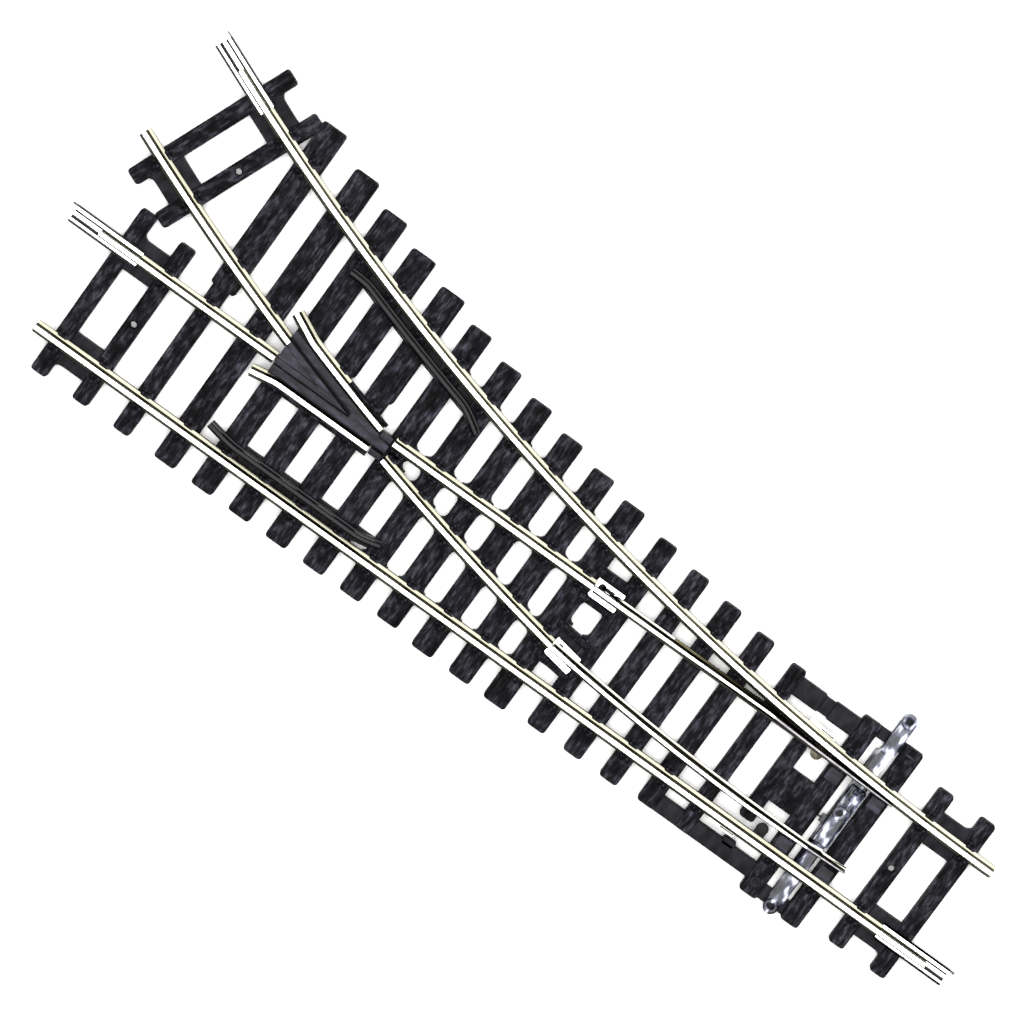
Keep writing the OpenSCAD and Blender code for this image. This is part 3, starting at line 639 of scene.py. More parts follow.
def add_light():
    middle = (0.09, -0.01, 0.0)
    add_softbox("overhead_softbox", (0.09, -0.1, 3.0), middle, 3.2, 3.2, 175)
    add_softbox("front_softbox", (0.0, -2.5, 2.7), middle, 2.2, 1.6, 60)
    world = bpy.data.worlds.new("studio")
    bpy.context.scene.world = world
    world.use_nodes = True
    world.node_tree.nodes["Background"].inputs["Color"].default_value = (1.0, 0.99, 0.97, 1)
    world.node_tree.nodes["Background"].inputs["Strength"].default_value = 0.1
    bpy.context.scene.view_settings.view_transform = "Standard"


def add_floor():
    reach, cells = 3.0, 12
    edit = bmesh.new()
    bmesh.ops.create_grid(edit, x_segments=cells, y_segments=cells, size=reach)
    mesh = bpy.data.meshes.new("floor")
    edit.to_mesh(mesh)
    edit.free()
    mesh.materials.append(floor_paper())
    floor = bpy.data.objects.new("floor", mesh)
    floor.location.z = -0.02 * MM
    bpy.context.scene.collection.objects.link(floor)


# ------------------------------------------------------------------ rails

def rail_side(foot):
    """Right side of the rail section, measured up from the foot."""
    f, w, h = foot / 2, WEB_T / 2, HEAD_W / 2
    side = [(f - 0.1, 0), (f, 0.07), (f, 0.2), (f - 0.03, 0.27), (f - 0.1, 0.31), (f * 0.62, 0.42),
            (w + 0.1, 0.53), (w, 0.66), (w, 0.74), (w, 1.2), (w, 1.58), (w + 0.04, 1.68),
            (h - 0.05, 1.79), (h, 1.88)]
    corner = 0.25
    for a in quarter(4):
        side.append((h - corner + corner * math.cos(a), RAIL_H - 0.015 - corner + corner * math.sin(a)))
    return side + [(0.12, RAIL_H)]


def rail_profile(foot=FOOT_W):
    return mirrored(rail_side(foot))


def rail(name, path, metal):
    shells = Shells()
    sweep(shells, rail_profile(), path, SEAT_Z)
    build(name, shells, "root", [name], [metal])


def make_rails():
    rail("straight_stock_rail", line(0, STRAIGHT_LEN, HALF_PITCH), RAIL)
    rail("curved_stock_rail", arc(INNER_R, 0, INNER_R * math.sin(ROUTE_ANGLE)), PALE_RAIL)
    rail("straight_closure_rail", line(CLOSURE_START, CLOSURE_END, -HALF_PITCH), RAIL)
    rail("curved_closure_rail", arc(OUTER_R, CLOSURE_START, CLOSURE_END), RAIL)
    rail("straight_vee_rail", line(VEE_START, STRAIGHT_LEN, -HALF_PITCH), RAIL)
    rail("curved_vee_rail", arc(OUTER_R, CURVED_VEE_START, OUTER_R * math.sin(ROUTE_ANGLE)), RAIL)
    flare(0.175, line(WING_START, 132.0, WING_Y), 5.0, "straight_wing_rail")
    flare(-0.157, arc(WING_R, WING_START, 130.9), 5.7, "curved_wing_rail")


def flare(turn, path, length, name):
    """A wing rail whose far end bends away from the crossing."""
    bend = 4
    for _ in range(bend):
        path = path + onward(path[-1], 0.35, turn / bend)
    rail(name, path + onward(path[-1], length - 0.35 * bend), RAIL)


# ------------------------------------------------------------------ switch blades

def along_curve(x, points):
    """Height at x of a line through points."""
    for (xa, ya), (xb, yb) in zip(points, points[1:]):
        if x <= xb:
            return ya + (yb - ya) * max(0.0, (x - xa) / (xb - xa))
    return points[-1][1]


def blade_ring(gauge_side, head, foot_limit, head_limit, heel):
    """Blade section: its head planed between two edges, its foot cut back from the stock rail.

    Distances from the blade's line are positive towards the gauge side.
    """
    outer, inner = head
    inner = max(inner, -head_limit)
    least = 0.12
    outer = max(outer, inner + least)
    ring = []
    for a, u in rail_profile(BLADE_FOOT_W):
        a *= gauge_side
        if u > 0.6:
            a = (outer + inner) / 2 + a * (outer - inner) / HEAD_W
        else:
            a = max(a, -min(foot_limit, HEEL_CUT)) if heel else max(a, -foot_limit)
        ring.append((a * gauge_side, u))
    return ring


def blade(name, path, gauge_side, head_of, limits, body, turn=None):
    shells = Shells()
    rings, grain, along = [], [], 0.0
    for i, station in enumerate(path):
        if i:
            along += math.dist(path[i - 1][:2], station[:2])
        heel = station[0] > BLADE_HEEL_X - 2.6
        section = blade_ring(gauge_side, head_of(station[0]), *limits(station), heel)
        rings.append([spot(station, a, SEAT_Z + u) for a, u in section])
        grain.append([(a, along, u) for a, u in section])

    # Finish 1 paints the planed head near the tip dim grey as shade; finish 2 gives the back of the foot the
    # dull rail metal.
    def finish(i, k):
        across, _, up = grain[i][k]
        if up > 0.6:
            return 1 if path[i][0] < PLANED_END[name] and up > RAIL_H - 0.35 else 0
        return 2 if across * gauge_side < 0 and path[i][0] < DULL_END[name] else 0

    loft(shells, rings, grain, finish)
    if turn:
        shells.turn(turn)
    build(name, shells, body, [name], [BLADE, PLANED_SHADE, DULL_RAIL])


HEEL_CUT = 0.3
PLANED_END = {"straight_switch_blade": 40.5, "curved_switch_blade": 25.0}
DULL_END = {"straight_switch_blade": 59.5, "curved_switch_blade": 0.0}
FOOT_REACH = FOOT_W / 2 + 0.05
HEAD_REACH = HEAD_W / 2 + 0.05


def straight_blade_limits(station):
    """How far towards the curved stock rail the straight blade's foot and head may reach."""
    x, y, _ = station
    gap = y - arc_y(x, INNER_R)
    slope = math.cos(arc_angle(x, INNER_R))
    return gap - FOOT_REACH / slope, gap - HEAD_REACH / slope


def curved_blade_limits(station):
    """How far towards the straight stock rail the closed curved blade may reach."""
    _, y, heading = station
    gap = HALF_PITCH - y
    return (gap - FOOT_REACH) / math.cos(heading), (gap - HEAD_REACH) / math.cos(heading)


def straight_blade_head(x):
    """Gauge edge and planed edge of the straight blade's head, which bows a little."""
    edge = along_curve(x, [(18, 0.62), (22, 0.60), (30, 0.47), (36, 0.32), (42, 0.12), (48, 0.14),
                           (60, 0.34), (70, 0.44), (75, 0.48)])
    width = along_curve(x, [(18, 0.34), (22, 0.44), (30, 0.56), (45, 0.60), (60, 0.76), (70, 0.88),
                            (75, 0.98)])
    return edge, edge - width


def curved_blade_head(x):
    edge = along_curve(x, [(18, 0.50), (30, 0.46), (38, 0.36), (50, 0.34), (70, 0.38), (75, 0.48)])
    width = along_curve(x, [(18, 0.36), (28, 0.56), (36, 0.74), (50, 0.80), (70, 0.82), (75, 0.98)])
    return edge, edge - width


def make_blades():
    tip, split = TIP_X, TIP_X + 14
    straight = line(tip, split, -HALF_PITCH, 0.8) + line(split, BLADE_HEEL_X, -HALF_PITCH, 1.2)[1:]
    blade("straight_switch_blade", straight, 1, straight_blade_head, straight_blade_limits,
          "straight_blade")
    curved = arc(OUTER_R, tip, split, 0.8) + arc(OUTER_R, split, BLADE_HEEL_X, 1.2)[1:]
    blade("curved_switch_blade", curved, -1, curved_blade_head, curved_blade_limits,
          "curved_blade", OPENED)


# ------------------------------------------------------------------ sleeper base

def relief(u, v, seed):
    """Depth of the moulded timber grain."""
    broad = 0.5 + 0.5 * wander(u * 1.7, v * 0.2, seed)
    crack = max(0.0, wander(u * 4.2, v * 0.34, seed + 31.0) - 0.12)
    return 0.06 * broad + 0.16 * crack


def timber(shells, x, width, y0, y1, height=SLEEPER_H, place=None):
    """A sleeper with rounded edges and corners and a grain along its top."""
    edge, corner, draft = 0.22, 0.5, 0.05
    first = len(shells.points)
    seed = x * GRAIN_SEED
    steps = round((y1 - y0) / 0.55)
    ends = [0.0, 0.05, 0.14, 0.28, 0.5]
    stations = [y0 + d for d in ends]
    stations += [y0 + 0.5 + (y1 - y0 - 1.0) * i / steps for i in range(1, steps)]
    stations += [y1 - d for d in reversed(ends)]
    columns = max(6, round(width / 0.24))
    rings, grain = [], []
    for v in stations:
        d = min(v - y0, y1 - v)
        shrink = corner * (1 - math.sqrt(1 - (1 - d / corner) ** 2)) if d < corner else 0.0
        drop = edge * (1 - math.sqrt(1 - (1 - d / edge) ** 2)) if d < edge else 0.0
        half, top = width / 2 - shrink, height - drop
        half += 0.02 * wander(v * 0.8, seed, 5.0) - 0.02
        flat = half - draft - edge
        section = [(-half, 0.0)]
        for a in quarter(3):
            section.append((-flat - edge * math.cos(a), top - edge + edge * math.sin(a)))
        for k in range(1, columns):
            u = -flat + 2 * flat * k / columns
            section.append((u, top - relief(u, v, seed) * smooth_step(d / 0.4)))
        for a in reversed(quarter(3)):
            section.append((flat + edge * math.cos(a), top - edge + edge * math.sin(a)))
        section.append((half, 0.0))
        rings.append([Vector((x + u, v, z)) for u, z in section])
        grain.append([(u + seed * GRAIN_SHIFT, v, z) for u, z in section])
    loft(shells, rings, grain)
    if place:
        shells.turn(place, first)


def drilled_timber(x, width, y0, y1, place=None):
    """A sleeper with a hole for a track pin, countersunk at both ends."""
    plain = Shells()
    timber(plain, x, width, y0, y1)
    body = build("drilled", plain, None, None, [SLEEPER])
    hole = Shells()
    profile = [(0.95, -0.3), (0.52, 0.35), (0.47, 1.0), (0.52, 1.7), (0.8, 2.3)]
    rings = [[Vector((p[0], p[1], z)) for p in circle(x, 0, r)] for r, z in profile]
    loft(hole, rings)
    cutter = build("cutter", hole, None, None, [SLEEPER])
    cut = body.modifiers.new("hole", "BOOLEAN")
    cut.operation, cut.object, cut.solver = "DIFFERENCE", cutter, "EXACT"
    mesh = bpy.data.meshes.new_from_object(body.evaluated_get(bpy.context.evaluated_depsgraph_get()))
    made = Shells()
    points = [v.co / MM for v in mesh.vertices]
    made.add(points, [(p.x - x + x * GRAIN_SEED * GRAIN_SHIFT, p.y, p.z) for p in points],
             [list(f.vertices) for f in mesh.polygons])
    bpy.data.objects.remove(body)
    bpy.data.objects.remove(cutter)
    if place:
        made.turn(place)
    return made


def merge(shells, other):
    shells.add(other.points, other.grain, other.faces)


def long_end(x):
    """Far end of a sleeper that carries the curved stock rail."""
    return arc_y(x, INNER_R) - 6.05 - 0.000066 * x * x


def end_webs(shells, near, far, place=None):
    """Webs under the rails between two end sleepers, with a rounded bay outside each."""
    first = len(shells.points)
    y_in, y_out, bay = 6.0, 11.7, 1.3
    out = 1 if near > far else -1
    a, b = far + out * 1.2, near - out * 1.2
    for side in (-1, 1):
        curve = []
        for t in quarter(6):
            curve.append((b - out * bay * (1 - math.sin(t)), side * (y_out + bay * (1 - math.cos(t)))))
        outline = [(a, side * y_in), (b, side * y_in)] + curve[::-1] + [(a, side * y_out)]
        if (side > 0) != (out > 0):
            outline.reverse()
        slab(shells, outline, 0, LINK_H, 0.15, finish=1)
    if place:
        shells.turn(place, first)


def make_timbers(shells):
    timber(shells, TOE_X[0], END_SLEEPER_W, -SLEEPER_HALF, SLEEPER_HALF)
    merge(shells, drilled_timber(TOE_X[1], END_SLEEPER_W, -SLEEPER_HALF, SLEEPER_HALF))
    timber(shells, HEEL_X[1], END_SLEEPER_W, -15.5, SLEEPER_HALF)
    merge(shells, drilled_timber(HEEL_X[0], END_SLEEPER_W, -SLEEPER_HALF, SLEEPER_HALF))
    timber(shells, -DIVERGING_BACK[1], END_SLEEPER_W, -14.8, 14.35, place=DIVERGING_END)
    merge(shells, drilled_timber(-DIVERGING_BACK[0], END_SLEEPER_W, -SLEEPER_HALF, 14.35,
                                 place=DIVERGING_END))
    for x in BAR_SLEEPER_X:
        timber(shells, x, BLADE_SLEEPER_W, -17.05, 16.2)
    timber(shells, BLADE_X[0], 2.7, -7.8, 6.85)
    timber(shells, BLADE_X[1], 2.7, long_end(BLADE_X[1]), 14.15)
    timber(shells, BLADE_X[2], BLADE_SLEEPER_W, long_end(BLADE_X[2]), 14.15)
    for x in BLADE_X[3:]:
        timber(shells, x, BLADE_SLEEPER_W, long_end(x), 14.55)
    timber(shells, PIVOT_SLEEPER_X, 4.1, long_end(PIVOT_SLEEPER_X), 15.15)
    for i, x in enumerate(CROSSING_X):
        timber(shells, x, CROSSING_TIMBER_W, long_end(x), 15.15 if i < 2 else 14.6)
    for x in CROSSING_X[5:]:
        timber(shells, x - 0.2, CROSSING_TIMBER_W + 0.5, long_end(x), -13, SLEEPER_H - 0.02)
    timber(shells, SPLAY_X, 3.05, -20, SLEEPER_HALF)
    timber(shells, SPLAY_X - 0.15, 4.45, long_end(SPLAY_X), -12.4, SLEEPER_H - 0.02)


def make_stringers(shells):
    half, top = 0.8, 0.8
    profile = [(-half, 0), (half, 0), (half, top - 0.1), (half - 0.1, top), (-half + 0.1, top),
               (-half, top - 0.1)]
    sweep(shells, profile, line(TOE_X[1], HEEL_X[0], HALF_PITCH), finish=1)
    sweep(shells, profile, arc(INNER_R, TOE_X[1], INNER_R * math.sin(ROUTE_ANGLE) - 8), finish=1)
    end_webs(shells, TOE_X[0], TOE_X[1])
    end_webs(shells, HEEL_X[1], HEEL_X[0])
    end_webs(shells, -DIVERGING_BACK[1], -DIVERGING_BACK[0], DIVERGING_END)


def gusset(shells, x, y, dx, dy, size):
    """A concave fillet in the corner between a timber's side and a stringer."""
    curve = []
    for t in quarter(5):
        curve.append((x + dx * size * (1 - math.sin(t)), y + dy * size * (1 - math.cos(t))))
    outline = [(x - dx * 0.3, y - dy * 0.3), (x + dx * size, y - dy * 0.3)] + curve
    outline.append((x - dx * 0.3, y + dy * size))
    if dx * dy < 0:
        outline.reverse()
    slab(shells, outline, 0, 1.5, 0.1, 2, finish=1)


def make_gussets(shells):
    """Rounded window corners beside the closure and stock rails."""
    reach = CROSSING_TIMBER_REACH
    edges = [(PIVOT_SLEEPER_X + PIVOT_TIMBER_REACH, CROSSING_X[0] - reach)]
    edges += [(a + reach, b - reach) for a, b in zip(CROSSING_X[:4], CROSSING_X[1:5])]
    for a, b in edges:
        for r, line_y in ((None, -HALF_PITCH), (OUTER_R, None), (INNER_R, None), (None, HALF_PITCH)):
            size = 0.95 if line_y == -HALF_PITCH or r == OUTER_R else 0.5
            for x, dx in ((a, 1), (b, -1)):
                y = arc_y(x, r) if r else line_y
                for dy in (-1, 1):
                    gusset(shells, x, y + dy * (FOOT_W / 2 - 0.05), dx, dy, size)


def make_pivot_window(shells):
    left, right = BLADE_X[5] + BLADE_SLEEPER_W / 2, PIVOT_SLEEPER_X - PIVOT_TIMBER_REACH
    for x, y, dx, dy in ((left, -5.95, 1, 1), (right, -5.95, -1, 1), (left, -1.5, 1, -1),
                         (right, -2.0, -1, -1)):
        gusset(shells, x, y, dx, dy, 0.8)


def make_switch_links(shells):
    """Outer links, spring housing and slide plates around the tie bar."""
    thin = 0.8
    slab(shells, rectangle(21, 28, 13.4, 15.9), 0, thin, 0.1, finish=1)
    slab(shells, rectangle(21, 28, -17.0, -15.1), 0, thin, 0.1, finish=1)
    slab(shells, rounded(rectangle(29.5, 49.5, 11.4, 14.15), 0.3), 0, LINK_H, 0.2, finish=1)
    slab(shells, rounded(rectangle(34.0, 36.4, 10.8, 12.2), 0.5), 0, LINK_H, 0.2, finish=1)
    for x0, x1 in ((29.5, 34.6), (36.2, 42.2)):
        slab(shells, rounded(rectangle(x0, x1, -16.05, -12.9), 0.45), 0, LINK_H, 0.35, 4, finish=1)
    slab(shells, rectangle(33, 38, -15.8, -13.1), 0, LINK_H - 0.35, 0.1, finish=1)
    housing = rounded(rectangle(28.3, 35.5, -3.7, 2.4), 0.3)
    slab(shells, housing, 0, SLEEPER_H - 0.02, 0.2)
    for y0, y1 in ((-3.3, -1.9), (-1.4, 0.1), (0.6, 2.1)):
        slab(shells, rounded(rectangle(30.3, 33.4, y0, y1), 0.2), 1, SLEEPER_H + 0.04, 0.1)
    boss = [(0.001, 1.5), (0.9, 1.5), (0.9, 2.12), (0.82, 2.24), (0.45, 2.25), (0.3, 2.12), (0.001, 2.1)]
    hoop(shells, 28.35, 13.85, boss, finish=1)
    for x, y in ((28.3, 6.6), (28.3, -6.5), (20.5, 6.7), (20.5, -6.6)):
        slab(shells, rounded(rectangle(x - 1.2, x + 1.2, y - 1.05, y + 1.05), 0.15), 1,
             SLEEPER_H + 0.03, 0.06, finish=2)
    # gate mark on a tie bar sleeper
    slab(shells, rounded(rectangle(19.6, 21.3, -15.85, -15.6), 0.1), 1, SLEEPER_H + 0.05, 0.04, finish=2)


def make_pivot_cradles(shells):
    for y0, y1 in ((-11.9, -6.2), (-0.9, 5.7)):
        slab(shells, rectangle(69.5, 77, y0, y1), 0, 1.35, 0.1, finish=1)
    for y in (-11.95, -7.0):
        slab(shells, rounded(rectangle(70.0, 76.2, y, y + 1.1), 0.2), 0, 2.5, 0.25, 4)
    for y in (4.8, -1.0):
        first = len(shells.points)
        slab(shells, rounded(rectangle(-0.2, 6.1, -0.45, 0.65), 0.2), 0, 2.5, 0.25, 4)
        shells.turn(Matrix.Translation((70.2, y + 0.45, 0)) @ Matrix.Rotation(math.radians(-6), 4, "Z"),
                    first)


def make_check_floors(shells):
    slab(shells, [(104.7, 5.1), (134.6, 5.1), (134.6, HALF_PITCH), (109.4, HALF_PITCH),
                  (109.4, 7.5), (106.7, 7.0), (104.7, 7.0)], 0, 1.5, 0.12, finish=1)
    top, edge = 1.5, CHECK_PITCH + 1.05
    profile = [(0, 0), (edge, 0), (edge, top - 0.1), (edge - 0.1, top), (0, top)]
    sweep(shells, profile, arc(INNER_R, 104.7, 132.2), finish=1)


def make_wing_covers(shells):
    side = [(1.09, -0.1), (1.09, 0.34), (0.54, 0.56), (0.56, 0.58), (0.75, 0.62), (1.05, 0.6),
            (1.25, 0.5), (1.46, 0.25), (1.5, -0.1)]
    sweep(shells, side[::-1], line(WING_START - 0.2, 134, WING_Y), SEAT_Z)
    slim = [(-0.54 - (a - 0.54) * 0.6, u) for a, u in side]
    sweep(shells, slim, arc(WING_R, WING_START - 0.2, 123.6), SEAT_Z)


def chair(shells, station, sides=(-1, 1)):
    """A low seat with a rounded claw over each edge of the rail foot."""
    x, y, heading = station
    place = Matrix.Translation((x, y, 0)) @ Matrix.Rotation(heading, 4, "Z")
    first = len(shells.points)
    reach_left = 1.95 if 1 in sides else 0.9
    reach_right = 1.95 if -1 in sides else 0.9
    slab(shells, rounded(rectangle(-1.15, 1.15, -reach_right, reach_left), 0.25), 1.6, SEAT_Z - 0.01, 0.05, 2)
    claw = [(1.09, -0.1), (1.09, 0.33), (0.88, 0.36), (0.85, 0.46), (0.92, 0.57), (1.08, 0.61),
            (1.24, 0.59), (1.38, 0.48), (1.52, 0.22), (1.6, -0.1)]
    for side in sides:
        rings = []
        for along, size in ((-0.85, 0.72), (-0.74, 0.93), (-0.55, 1.0), (0.55, 1.0), (0.74, 0.93),
                            (0.85, 0.72)):
            rings.append([Vector((along, side * (1.25 + (a - 1.25) * size), SEAT_Z - 0.1 + (u + 0.1) * size))
                          for a, u in claw])
        loft(shells, rings)
    shells.turn(place, first)


def make_chairs(shells):
    left, right = (1,), (-1,)
    switch = [BAR_SLEEPER_X[0], BAR_SLEEPER_X[1], BLADE_X[1]]
    plain = [*BLADE_X[2:], PIVOT_SLEEPER_X, *CROSSING_X, SPLAY_X]
    for x in [TOE_X[1], *plain, *HEEL_X]:
        chair(shells, (x, HALF_PITCH, 0))
    for x in [*TOE_X, *plain]:
        chair(shells, on_arc(x, INNER_R))
    for x in switch:
        chair(shells, (x, HALF_PITCH, 0), left)
        chair(shells, on_arc(x, INNER_R), right)
    for x in [PIVOT_SLEEPER_X, *CROSSING_X[:5], CROSSING_X[8], SPLAY_X]:
        chair(shells, (x, -HALF_PITCH, 0))
        chair(shells, on_arc(x, OUTER_R))
    for x in CROSSING_X[5:8]:
        chair(shells, (x, WING_Y, 0), left)
    for x in CROSSING_X[5:7]:
        chair(shells, on_arc(x, WING_R), right)
    chair(shells, (HEEL_X[0], -HALF_PITCH, 0))
    for back, r in ((DIVERGING_BACK[0], OUTER_R), (DIVERGING_BACK[0], INNER_R), (DIVERGING_BACK[1], OUTER_R)):
        chair(shells, on_arc(r * math.sin(ROUTE_ANGLE - back / ROUTE_R), r))


def make_base():
    shells = Shells()
    make_timbers(shells)
    make_stringers(shells)
    make_gussets(shells)
    make_pivot_window(shells)
    make_switch_links(shells)
    make_pivot_cradles(shells)
    make_check_floors(shells)
    make_wing_covers(shells)
    make_chairs(shells)
    build("sleeper_base", shells, "root", ["sleeper_base"], [SLEEPER, LINK, CROSSING])


# ------------------------------------------------------------------ crossing and check rails

def stretch(x0, x1, y_of, step=1.0):
    n = max(2, round((x1 - x0) / step))
    return [(x0 + (x1 - x0) * i / n, y_of(x0 + (x1 - x0) * i / n)) for i in range(n + 1)]


def make_crossing():
    shells = Shells()
    floor_top, nose_top = 3.3, RAIL_TOP - 0.06
    gap = HEAD_W / 2 + 0.04
    flat_edge, head = WING_Y - gap, HEAD_W / 2
    gauge_y = -HALF_PITCH + head
    gauge_r, back_r = OUTER_R - head, OUTER_R + head

    # floor between the wing rails, split into a lane each side of the nose. The near-black slab under the
    # lanes shows in the grooves between them as painted shade.
    point_x = math.sqrt(gauge_r ** 2 - (ROUTE_R + gauge_y) ** 2)
    fork, groove = point_x + 0.4, 0.28
    x0, x1, top_y = CROSSING_START, CROSSING_END, flat_edge - groove
    low_r, side_r = WING_R + gap + groove, gauge_r - 0.32

    whole = stretch(x0, x1, lambda x: arc_y(x, WING_R + gap + 0.02))
    slab(shells, [*whole, (x1, flat_edge), (x0, flat_edge)], SLEEPER_H, floor_top - 0.7, 0.05, 1, finish=1)
    lanes = [*stretch(x0, x1, lambda x: arc_y(x, low_r)),
             *stretch(fork, x1, lambda x: arc_y(x, side_r))[::-1],
             (fork, gauge_y + 0.3), (x1, gauge_y + 0.32), (x1, top_y), (x0, top_y)]
    slab(shells, lanes, SLEEPER_H, floor_top, 0.05, 2)

    # low filling of the vee, then its two running edges
    filling = stretch(point_x + 2.0, CROSSING_END - 0.05, lambda x: arc_y(x, gauge_r - 0.06))
    slab(shells, [*filling, (CROSSING_END - 0.05, gauge_y - 0.06)], floor_top - 0.1, nose_top - 0.45, 0.08, 2)
    start = point_x + 0.5
    under = stretch(start, CROSSING_END, lambda x: max(gauge_y - HEAD_W, arc_y(x, gauge_r) + 0.02))
    slab(shells, [*under, (CROSSING_END, gauge_y), (start, gauge_y)], floor_top - 0.1, nose_top, 0.1, 3)
    inner = stretch(start, CROSSING_END - 0.2, lambda x: arc_y(x, gauge_r))
    outer = stretch(start, CROSSING_END - 0.2, lambda x: min(gauge_y - 0.02, arc_y(x, back_r)))
    slab(shells, [*inner, *outer[::-1]], floor_top - 0.1, nose_top - 0.015, 0.1, 3)

    # plugs that lead from the closure rails to the wing rails
    plug_end = WING_START - 0.3
    slab(shells, rounded(rectangle(CROSSING_START, plug_end, WING_Y - 0.55, WING_Y + 0.5), 0.15),
         SLEEPER_H, RAIL_TOP - 0.1, 0.15, 3)
    slab(shells, rounded(rectangle(CROSSING_START, plug_end, -HALF_PITCH - 0.75, -HALF_PITCH + 0.4), 0.15),
         SLEEPER_H, RAIL_TOP - 0.1, 0.15, 3)
    build("crossing_insert", shells, "root", ["crossing_insert"], [CROSSING, PAINTED_SHADE])


def check_profile():
    """Section of a check rail, measured up from the sleepers."""
    h, foot, top = 0.5, 0.75, high("straight_check_rail").z - SLEEPER_H
    side = [(foot, 0), (foot, 0.48), (foot - 0.1, 0.6), (h - 0.06, 0.66), (h - 0.02, 1.2), (h, top - 0.5)]
    corner = 0.4
    for a in quarter(7, 1):
        side.append((h - corner + corner * math.cos(a), top - corner + corner * math.sin(a)))
    return mirrored(side)


def check_rail(name, y_of, x0, x1):
    points = stretch(x0, x1, y_of, 0.8)
    path = []
    for i, (x, y) in enumerate(points):
        a, b = points[max(i - 1, 0)], points[min(i + 1, len(points) - 1)]
        path.append((x, y, math.atan2(b[1] - a[1], b[0] - a[0])))
    shells = Shells()
    sweep(shells, check_profile(), path, SLEEPER_H)
    build(name, shells, "root", [name], [CHECK])


def drawn_back(x, start, end, start_len, end_len, start_depth, end_depth):
    """How far a check rail's ends bend away from its stock rail."""
    bend = 0.0
    if x < start + start_len:
        bend = start_depth * ((start + start_len - x) / start_len) ** 1.3
    if x > end - end_len:
        bend = end_depth * ((x - end + end_len) / end_len) ** 1.3
    return bend


def make_check_rails():
    x0, x1 = low("straight_check_rail").x, high("straight_check_rail").x
    check_rail("straight_check_rail",
               lambda x: HALF_PITCH - CHECK_PITCH - drawn_back(x, x0, x1, 3.8, 5.2, 0.85, 0.85), x0, x1)
    c0, c1 = low("curved_check_rail").x + 0.15, high("curved_check_rail").x - 0.2
    check_rail("curved_check_rail",
               lambda x: arc_y(x, CHECK_R) + drawn_back(x, c0, c1, 4.2, 3.6, 1.35, 0.9), c0, c1)


# ------------------------------------------------------------------ tie bar

LOW_ARM_X = -0.4
LOW_EYE_Y, TOP_EYE_Y = -20.0, 15.6
BAR_TOP = 1.75
STRAIGHT_LUG_Y = -HALF_PITCH + 0.25
CURVED_LUG_Y = arc_y(BAR_X, OUTER_R) - 0.25


def lug_spot(curved):
    """Middle of the pin that carries a blade on the tie bar, at rest."""
    if not curved:
        return Vector((BAR_X, STRAIGHT_LUG_Y, 0))
    closed = Vector((BAR_X, CURVED_LUG_Y, 0))
    return OPEN_CENTRE + Matrix.Rotation(OPEN_ANGLE, 3, "Z") @ (closed - OPEN_CENTRE)


def bar_height(u, v):
    """Top of the tie bar at a place across and along it."""
    top = BAR_TOP
    middle = within(v, -7.2, 3.3)
    rim = max(within(u, -1.65, -1.3), within(u, 0.7, 1.05))
    wave = 0.05 * wander(u * 0.9, v * 0.55, 3.0)
    top += middle * within(u, -1.7, 1.05) * (0.5 + 0.16 * rim + wave)
    top -= within(v, -6.9, -3.4) * within(u, -1.1, -0.2) * 0.12 + 0.1 * middle * max(0.0, -u - 0.3)
    top += within(v, -13.9, -10.3) * within(u, -1.5, 0.95) * (0.14 + wave * 0.6)
    top -= within(v, 3.6, 9.7) * max(0.0, u + 0.1) * 0.42
    for y, depth, size in ((-5.2, 0.35, 0.32), (-6.5, 0.55, 0.42)):
        reach = math.hypot(u + 0.15, v - y)
        top -= depth * smooth_step((size + 0.1 - reach) / 0.2)
    for curved in (False, True):
        lug = lug_spot(curved)
        top = min(top, BAR_TOP - 0.72 * within(u, lug.x - BAR_X - 1.1, lug.x - BAR_X + 1.1)
                  * within(v, lug.y - 0.55, lug.y + 0.55)) if abs(v - lug.y) < 0.9 else top
    return top


def bar_edges(v):
    """Left and right edge of the tie bar, across from its centre line."""
    arm = smooth_step((-13.75 - v) / 0.3)
    neck = smooth_step((v - 14.1) / 0.3)
    middle = within(v, -7.2, 3.3)
    left = -1.4 - 0.25 * max(arm, middle) + 0.15 * neck
    right = 1.4 - 0.55 * arm - 0.15 * neck
    return left, right


